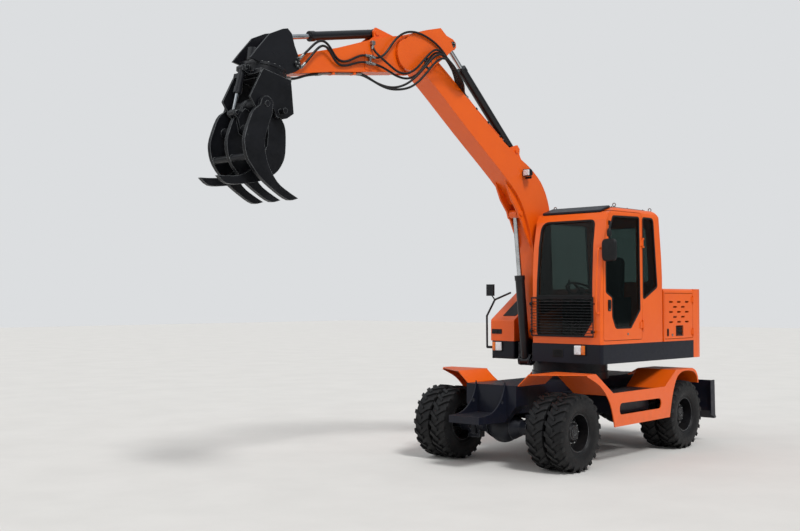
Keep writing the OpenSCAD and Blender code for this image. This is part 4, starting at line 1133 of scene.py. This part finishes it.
def add_seal(shape, corners, place, out):
    """A rubber profile pressed on a window's edge: a flat lip outside and a round one over the glass."""
    line = divided(rounded(corners, 0, 6))
    inside = 10
    loops = (
        (-out, 0.4), (-out + 2, 3.0), (-out * 0.4, 3.6), (-1, 5.6), (inside * 0.7, 4.4), (inside, 1.0),
        (inside, -12.0), (inside * 0.4, -12.0), (0.2, -1.0), (-1, 0.4),
    )
    rings = []
    for inwards, level in loops:
        rings.append([place(p.x, p.y, level) for p in shrunk(line, inwards)])
    add_loft(shape, rings, closed=True)


class EXCAVATOR_OT_glazing(bpy.types.Operator):
    """Presses rubber seals on the windows and fits the front window's bar"""

    bl_idname = "excavator.glazing"
    bl_label = "Glazing"

    def execute(self, context):
        """Makes the cab's seals and the door's."""
        shape = bmesh.new()
        for window, place, lip in (
            (FRONT_WINDOW, on_front, 16),
            (REAR_WINDOW, on_left, 12),
            (RIGHT_WINDOW, on_right, 16),
            (BACK_WINDOW, on_back, 16),
        ):
            add_seal(shape, window, place, lip)
        bar = divided([Vector(p) for p in ((-10, 1932), (750, 1932), (750, 1958), (-10, 1958))])
        add_plate(shape, bar, -10, 1.5, on_front, 1.0)
        piece("cab_window_seals", shape, "upper", "seal")
        shape = bmesh.new()
        add_seal(shape, DOOR_WINDOW, on_left, 12)
        piece("door_window_seal", shape, "door", "seal")
        return {"FINISHED"}


def add_eye_bolt(shape, at, up, across):
    """A lifting eye: a round ring on a collar."""
    add_turned(shape, at, up, [(-0.001, 0.022), (0.007, 0.022), (0.010, 0.016), (0.014, 0.012)], 24)
    middle = at + up * 0.034
    rings = []
    for point in ring_of(middle, across, up, 0.020, 28):
        rings.append(ring_of(point, (point - middle).normalized(), up.cross(across), 0.0058, 10))
    add_loft(shape, rings, capped=False)
    add_loft(shape, [rings[-1], rings[0]], capped=False)


# A knob of the guard and the foot of a rail, as (distance along the axis, radius)
KNOB = ((0, 0.013), (0.003, 0.018), (0.016, 0.019), (0.020, 0.016), (0.021, 0.008))
FOOT = ((0, 0.024), (0.004, 0.024), (0.006, 0.020))


class EXCAVATOR_OT_cab_trim(bpy.types.Operator):
    """Fits the cab's rails, roof plate, lifting eyes, guard knobs, handle and lock"""

    bl_idname = "excavator.cab_trim"
    bl_label = "Cab trim"

    def execute(self, context):
        """Makes the small parts that are bolted on the cab and its door."""
        shape = bmesh.new()
        rail = [on_front(862, 2505, 0), on_front(862, 2500, 36), on_front(862, 2470, 54)]
        rail += [on_front(862, z, 56) for z in (2350, 2150, 1950, 1800)]
        rail += [on_front(862, 1765, 52), on_front(862, 1740, 34), on_front(862, 1736, 0)]
        add_tube(shape, smooth_path(rail, 5), 0.011, 14)
        for z in (2505, 1736):
            add_turned(shape, on_front(862, z, -1), AHEAD, FOOT, 20)
        piece("front_grab_rail", shape, "upper", "orange")

        shape = bmesh.new()
        add_plate(shape, oblong(-560, -50, 210, 770, 40, 6), 3010.2, 3024, on_upper, 4)
        add_plate(shape, oblong(-470, 40, 120, 680, 30, 6), 3023, 3032, on_upper, 4)
        # The slope at the roof's front edge: how far it runs back and rises for each millimetre along it
        run, rise = 0.9545, 0.298

        def on_roof_slope(a, b, level):
            return on_upper(498 - run * a + rise * level, b, 2937 + rise * a + run * level)

        add_plate(shape, oblong(4, -66, 246, 790, 36, 6), 0.3, 30, on_roof_slope, 9)
        for x, y in ((-530, -20), (180, -20), (180, 740), (-530, 740), (-175, -20), (-175, 740)):
            add_bolt(shape, on_upper(x, y, 3024), UP, 0.008, 1)
        piece("roof_plate", shape, "upper", "belt zinc")

        shape = bmesh.new()
        for x, y in ((215, -62), (215, 800), (-600, 800), (-600, -62)):
            add_eye_bolt(shape, on_upper(x, y, 3010 if x > 0 else 2994), UP, LEFT)
        piece("lifting_eyes", shape, "upper", "zinc")

        shape = bmesh.new()
        for y in (-90, 800):
            for z in (1520, 1850):
                add_turned(shape, on_front(y, z, 34), AHEAD, KNOB, 20)
        for z in range(1500, 1900, 46):
            add_tube(shape, [on_front(-108, z, 26), on_front(-72, z, 26)], 0.0045, 8)
        for z in (1462, 1926):
            add_tube(shape, [on_front(-90, z, 26), on_front(355, z, 26), on_front(800, z, 26)], 0.007, 10)
        piece("guard_knobs", shape, "upper", "plastic")

        shape = bmesh.new()
        add_plate(shape, oblong(452, 1765, 520, 1900, 16), 0.3, 5, on_left, 2)
        add_plate(shape, oblong(463, 1800, 508, 1888, 12), 4, 17, on_left, 5)
        add_turned(shape, on_left(486, 1782, 4.5), LEFT, [(0, 0.010), (0.004, 0.010), (0.005, 0.008)], 20, 1)
        lock = [(0, 0.015), (0.004, 0.015), (0.006, 0.012), (0.006, 0.004)]
        add_turned(shape, on_left(87, 1488, 0), LEFT, lock, 20, 1)
        piece("door_handle", shape, "door", "plastic zinc")
        return {"FINISHED"}


class EXCAVATOR_OT_lamps(bpy.types.Operator):
    """Fits the head lamps with their amber indicators, the grille plate and the boom's work lamp"""

    bl_idname = "excavator.lamps"
    bl_label = "Lamps"

    def execute(self, context):
        """Makes the lamp units in the place of the plain ones, the grille and the work lamp."""
        shape = bmesh.new()
        for x, y, amber in ((654, 578, 1), (474, -762, -1)):
            def face(a, b, level, x=x, y=y, amber=amber):
                return on_upper(x + level, y + amber * a, 1302 + b)

            add_plate(shape, oblong(-54, -62, 106, 62, 12), 0.3, 14, face, 3, 0)
            add_lens(shape, oblong(-47, -55, 45, 55, 12), 12, 34, face, 1)
            add_lens(shape, oblong(51, -55, 99, 55, 10), 12, 30, face, 2)
        made = piece("head_lamp_units", shape, "upper", "plastic lens amber")
        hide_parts("lamps")

        shape = bmesh.new()

        def grille(a, b, level):
            return on_upper(654 + level, a, b)

        add_plate(shape, oblong(206, 1212, 358, 1308, 8), 0.3, 5, grille, 2)
        for z in range(1228, 1300, 13):
            add_plate(shape, oblong(222, z - 3, 342, z + 3, 2.5, 3), 4, 12, grille, 2)
        piece("belt_grille", shape, "upper", "plastic")

        shape = bmesh.new()

        def lamp_front(a, b, level):
            return on_boom(648 + level, 196 + a, 3466 + b)

        for size, low, high in ((30, -6, 13), (40, 12, 35), (50, 34, 59), (56, 58, 88)):
            add_plate(shape, oblong(-size, -size * 0.8, size, size * 0.8, 12), low, high, lamp_front, 3)
        add_lens(shape, oblong(-47, -36, 47, 36, 10), 86, 97, lamp_front, 1)
        add_plate(shape, oblong(640, 3398, 668, 3424, 6), 125.3, 200, beside_boom, 2)
        add_plate(shape, oblong(-20, -66, 20, -40, 4), 2, 16, lamp_front, 2)
        piece("boom_work_lamp", shape, "boom", "cylinder lens")
        return {"FINISHED"}


def add_lens(shape, outline, low, high, place, material):
    """A pressed lens: a straight skirt and a crowned face."""
    middle = sum(outline, Vector((0, 0))) / len(outline)
    rings = []
    for share, rise in ((1.0, 0), (1.0, 0.55), (0.93, 0.8), (0.7, 0.94), (0.35, 1)):
        level = low + rise * (high - low)
        rings.append([place(*(middle + (p - middle) * share), level) for p in outline])
    add_loft(shape, rings, material=material)


# The left mirror's arm from the cab's pillar, and the cover of its joint as (distance up, radius)
MIRROR_ARM = (
    (478, 903, 2806), (500, 932, 2812), (552, 968, 2806), (604, 992, 2776), (634, 1000, 2720), (636, 1000, 2600),
)
MIRROR_BALL = ((0, 0.012), (0.006, 0.024), (0.030, 0.028), (0.070, 0.026), (0.092, 0.018), (0.098, 0.010))


class EXCAVATOR_OT_mirrors(bpy.types.Operator):
    """Makes the mirrors' moulded housings, glasses and arms"""

    bl_idname = "excavator.mirrors"
    bl_label = "Mirrors"

    def execute(self, context):
        """Makes the left mirror in the place of the plain one, and the right mirror's glass."""
        shape = bmesh.new()

        def face(a, b, level):
            return on_upper(level, a, b)

        outline = oblong(905, 2347, 1095, 2610, 62, 8)
        add_lens(shape, outline, 622, 664, face, 0)
        add_plate(shape, shrunk(outline, 9), 617, 622.5, face, 1.5, 1)
        add_tube(shape, smooth_path([on_upper(*point) for point in MIRROR_ARM], 6), 0.009, 12)
        add_plate(shape, oblong(452, 2780, 504, 2834, 8), 0.3, 7, on_left, 2)
        add_turned(shape, on_upper(635, 1000, 2632), UP, MIRROR_BALL, 24)
        made = piece("left_mirror", shape, "upper", "plastic silvered")
        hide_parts("mirrors")
        shape = bmesh.new()
        add_plate(shape, oblong(-992, 1958, -888, 2092, 14), 421, 424.5, face, 1)
        piece("right_mirror_glass", shape, "upper", "silvered")
        return {"FINISHED"}


# Seat


def add_cushion(shape, outline, low, high, place, crown):
    """A stuffed cushion: sides that bulge above and below a welted seam, and a crowned face on both sides."""
    middle = sum(outline, Vector((0, 0))) / len(outline)
    height = high - low
    stations = (
        (0.30, -crown * 0.3), (0.62, -crown * 0.2), (0.86, 0.0), (0.95, height * 0.06), (1.0, height * 0.22),
        (1.005, height * 0.40), (0.985, height * 0.49), (0.985, height * 0.51), (1.005, height * 0.60),
        (1.0, height * 0.78), (0.955, height * 0.93), (0.88, height),
        (0.66, height + crown * 0.6), (0.32, height + crown),
    )
    rings = []
    for share, rise in stations:
        rings.append([place(*(middle + (p - middle) * share), low + rise) for p in outline])
    add_loft(shape, rings)
    welt = [place(*p, low + height * 0.5) for p in outline]
    loops = []
    for k, point in enumerate(welt):
        along = (welt[(k + 1) % len(welt)] - welt[k - 1]).normalized()
        across, up = side_axes(along)
        loops.append(ring_of(point, across, up, 0.0042, 8))
    add_loft(shape, [*loops, loops[0]], capped=False, material=1)


class EXCAVATOR_OT_seat(bpy.types.Operator):
    """Stuffs the operator's seat"""

    bl_idname = "excavator.seat"
    bl_label = "Seat"

    def execute(self, context):
        """Makes the seat's two cushions in the place of the plain ones."""

        def on_back_rest(a, b, level):
            return on_upper(level - (b - 1830) * 0.06, a, b)

        back = rounded([(190, 1830), (190, 2430), (600, 2430), (600, 1830)], 90, 7)
        cushions = (
            ("seat_cushion", oblong(-250, 178, 236, 612, 60, 6), 1702.5, 1812, on_upper),
            ("back_cushion", back, -328, -222, on_back_rest),
        )
        for name, outline, low, high, place in cushions:
            shape = bmesh.new()
            add_cushion(shape, divided(outline, 40), low, high, place, 12)
            made = piece(name, shape, "upper", "cloth seal")
            if name == "seat_cushion":
                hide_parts("seat")
        return {"FINISHED"}


# Hood and right-hand body


class EXCAVATOR_OT_hood_trim(bpy.types.Operator):
    """Fits the side door's louvres and latches, the body's tread panel, and the lid's grip and louvres"""

    bl_idname = "excavator.hood_trim"
    bl_label = "Hood trim"

    def execute(self, context):
        """Makes the small parts on the hood and the right-hand body."""
        shape = bmesh.new()

        def on_louvre(a, b, level):
            return on_left(a, b + level * 0.5, level)

        for z in range(1454, 1560, 18):
            add_plate(shape, oblong(-1226, z - 5, -1056, z + 5, 2, 2), -16, -3, on_louvre, 1.5)
        frame = oblong(-1232, 1436, -1050, 1569, 6, 3)
        rings = []
        for inwards, level in ((0, 0.3), (0, 3), (8, 3), (8, -14), (5, -14), (5, 0.3)):
            rings.append([on_left(p.x, p.y, level) for p in shrunk(frame, inwards)])
        add_loft(shape, rings, closed=True)
        add_plate(shape, oblong(-868, 1436, -826, 1534, 12), 0.3, 5, on_left, 2)
        add_plate(shape, oblong(-858, 1448, -836, 1522, 9), 4, 12, on_left, 3)
        latch = [(0, 0.017), (0.004, 0.017), (0.006, 0.014), (0.006, 0.004)]
        add_turned(shape, on_left(-960, 1452, 0), LEFT, latch, 24, 1)
        piece("side_door_fittings", shape, "side_door", "plastic zinc")

        shape = bmesh.new()
        slope = Vector((-0.834, 0.551))

        def ramp(a, b, level):
            point = Vector((474, 1640)) + slope * a + Vector((slope.y, -slope.x)) * level
            return on_upper(point.x, b, point.y)

        add_plate(shape, oblong(90, -764, 600, -556, 14), 0.3, 4, ramp, 1.5)
        for k in range(14):
            for j in range(5):
                a, b = 108 + 36 * k, -744 + 38 * j + (10 if k % 2 else 0)
                away = ramp(a, b, 10) - ramp(a, b, 0)
                add_turned(shape, ramp(a, b, 3.5), away, [(0, 0.0085), (0.0025, 0.0075), (0.003, 0.005)], 8)

        def on_body_front(a, b, level):
            return on_upper(474 + level, a, b)

        add_plate(shape, oblong(-884, 1461, -720, 1522, 10), 0.3, 7, on_body_front, 2)
        add_plate(shape, oblong(-868, 1474, -780, 1510, 8), 6, 17, on_body_front, 4)
        piece("body_tread_panel", shape, "upper", "plastic")

        shape = bmesh.new()
        rear = -1380
        grip = ((-90, 2039), (-90, 2068), (-60, 2078), (60, 2078), (90, 2068), (90, 2039))
        add_tube(shape, smooth_path([on_upper(rear, y, z) for y, z in grip], 5), 0.009, 12)
        for y in (-90, 90):
            add_turned(shape, on_upper(rear, y, 2038.5), UP, [(0, 0.020), (0.003, 0.020), (0.005, 0.016)], 20)
        for y in range(-320, 321, 80):
            outline = oblong(-1300, y - 22, -960, y + 22, 20, 4)
            add_lens(shape, outline, 2038.6, 2050, on_upper, 0)
        piece("lid_louvres", shape, "engine_lid", "orange")
        return {"FINISHED"}


# Pins and bolts


class EXCAVATOR_OT_pins(bpy.types.Operator):
    """Fits caps on the pins and bolts on the rotator"""

    bl_idname = "excavator.pins"
    bl_label = "Pins"

    def execute(self, context):
        """Makes the pin caps of each body and the rotator's bolts."""
        # Columns: body, forward, up, how far out, radius
        caps = (
            ("arm", 2480, 4540, 157, 62),
            ("arm", 1982, 4853, 92, 34),
            ("head", 4390, 4225, 160, 34),
            ("upper", 200, 1480, 181, 40),
        )
        shapes = {body: bmesh.new() for body in ("arm", "head", "upper")}
        for body, x, z, far, radius in caps:
            shape = shapes[body]
            for sign in (1, -1):
                at, out = on_boom(x, sign * far, z), upper_direction(0, sign, 0)
                edge = radius / 1000
                cap = [(-0.002, edge), (0.008, edge), (0.011, edge - 0.004)]
                cap += [(0.011, 0.010), (0.016, 0.008), (0.018, 0.004)]
                add_turned(shape, at, out, cap, 36)
                for k in range(3):
                    turn = math.tau * (k + 0.25) / 3
                    away = upper_direction(math.cos(turn), 0, math.sin(turn)) * radius * 0.00068
                    add_bolt(shape, at + out * 0.011 + away, out, 0.0065, 1)
        shape = shapes["head"]
        for k in range(20):
            turn = math.tau * (k + 0.5) / 20
            at = on_grapple(203 * math.cos(turn), 203 * math.sin(turn), 42)
            add_bolt(shape, at, GRAPPLE.to_3x3() @ UP, 0.008, 1)
        for body, shape in shapes.items():
            piece(f"pin_caps_{body}", shape, body, "cylinder zinc")
        return {"FINISHED"}


class EXCAVATOR_PT_panel(bpy.types.Panel):
    """Shows the colours and sizes, and a button for each step"""

    bl_idname = "EXCAVATOR_PT_panel"
    bl_label = "Excavator"
    bl_space_type = "VIEW_3D"
    bl_region_type = "UI"
    bl_category = "Excavator"

    def draw(self, context):
        """Draws the values, then a button for each operator."""
        layout = self.layout
        for group in (context.scene.excavator_look, context.scene.excavator_tyre):
            for name in group.bl_rna.properties.keys():
                if name not in {"rna_type", "name"}:
                    layout.prop(group, name)
        for operator in OPERATORS:
            layout.operator(operator.bl_idname)


OPERATORS = (
    EXCAVATOR_OT_camera,
    EXCAVATOR_OT_finishes,
    EXCAVATOR_OT_hoses,
    EXCAVATOR_OT_lines,
    EXCAVATOR_OT_tyres,
    EXCAVATOR_OT_wheels,
    EXCAVATOR_OT_glazing,
    EXCAVATOR_OT_cab_trim,
    EXCAVATOR_OT_lamps,
    EXCAVATOR_OT_mirrors,
    EXCAVATOR_OT_seat,
    EXCAVATOR_OT_hood_trim,
    EXCAVATOR_OT_pins,
    EXCAVATOR_OT_studio,
)
CLASSES = (ExcavatorLook, ExcavatorTyre, *OPERATORS, EXCAVATOR_PT_panel)


def register():
    """Registers the classes and hangs the values on the scene."""
    for made in CLASSES:
        bpy.utils.register_class(made)
    bpy.types.Scene.excavator_look = PointerProperty(type=ExcavatorLook)
    bpy.types.Scene.excavator_tyre = PointerProperty(type=ExcavatorTyre)


def unregister():
    """Takes the values off the scene and unregisters the classes."""
    del bpy.types.Scene.excavator_tyre
    del bpy.types.Scene.excavator_look
    for made in reversed(CLASSES):
        bpy.utils.unregister_class(made)


def main():
    """Builds everything in order."""
    register()
    for operator in OPERATORS:
        group, name = operator.bl_idname.split(".")
        getattr(getattr(bpy.ops, group), name)()


if __name__ == "__main__":
    main()
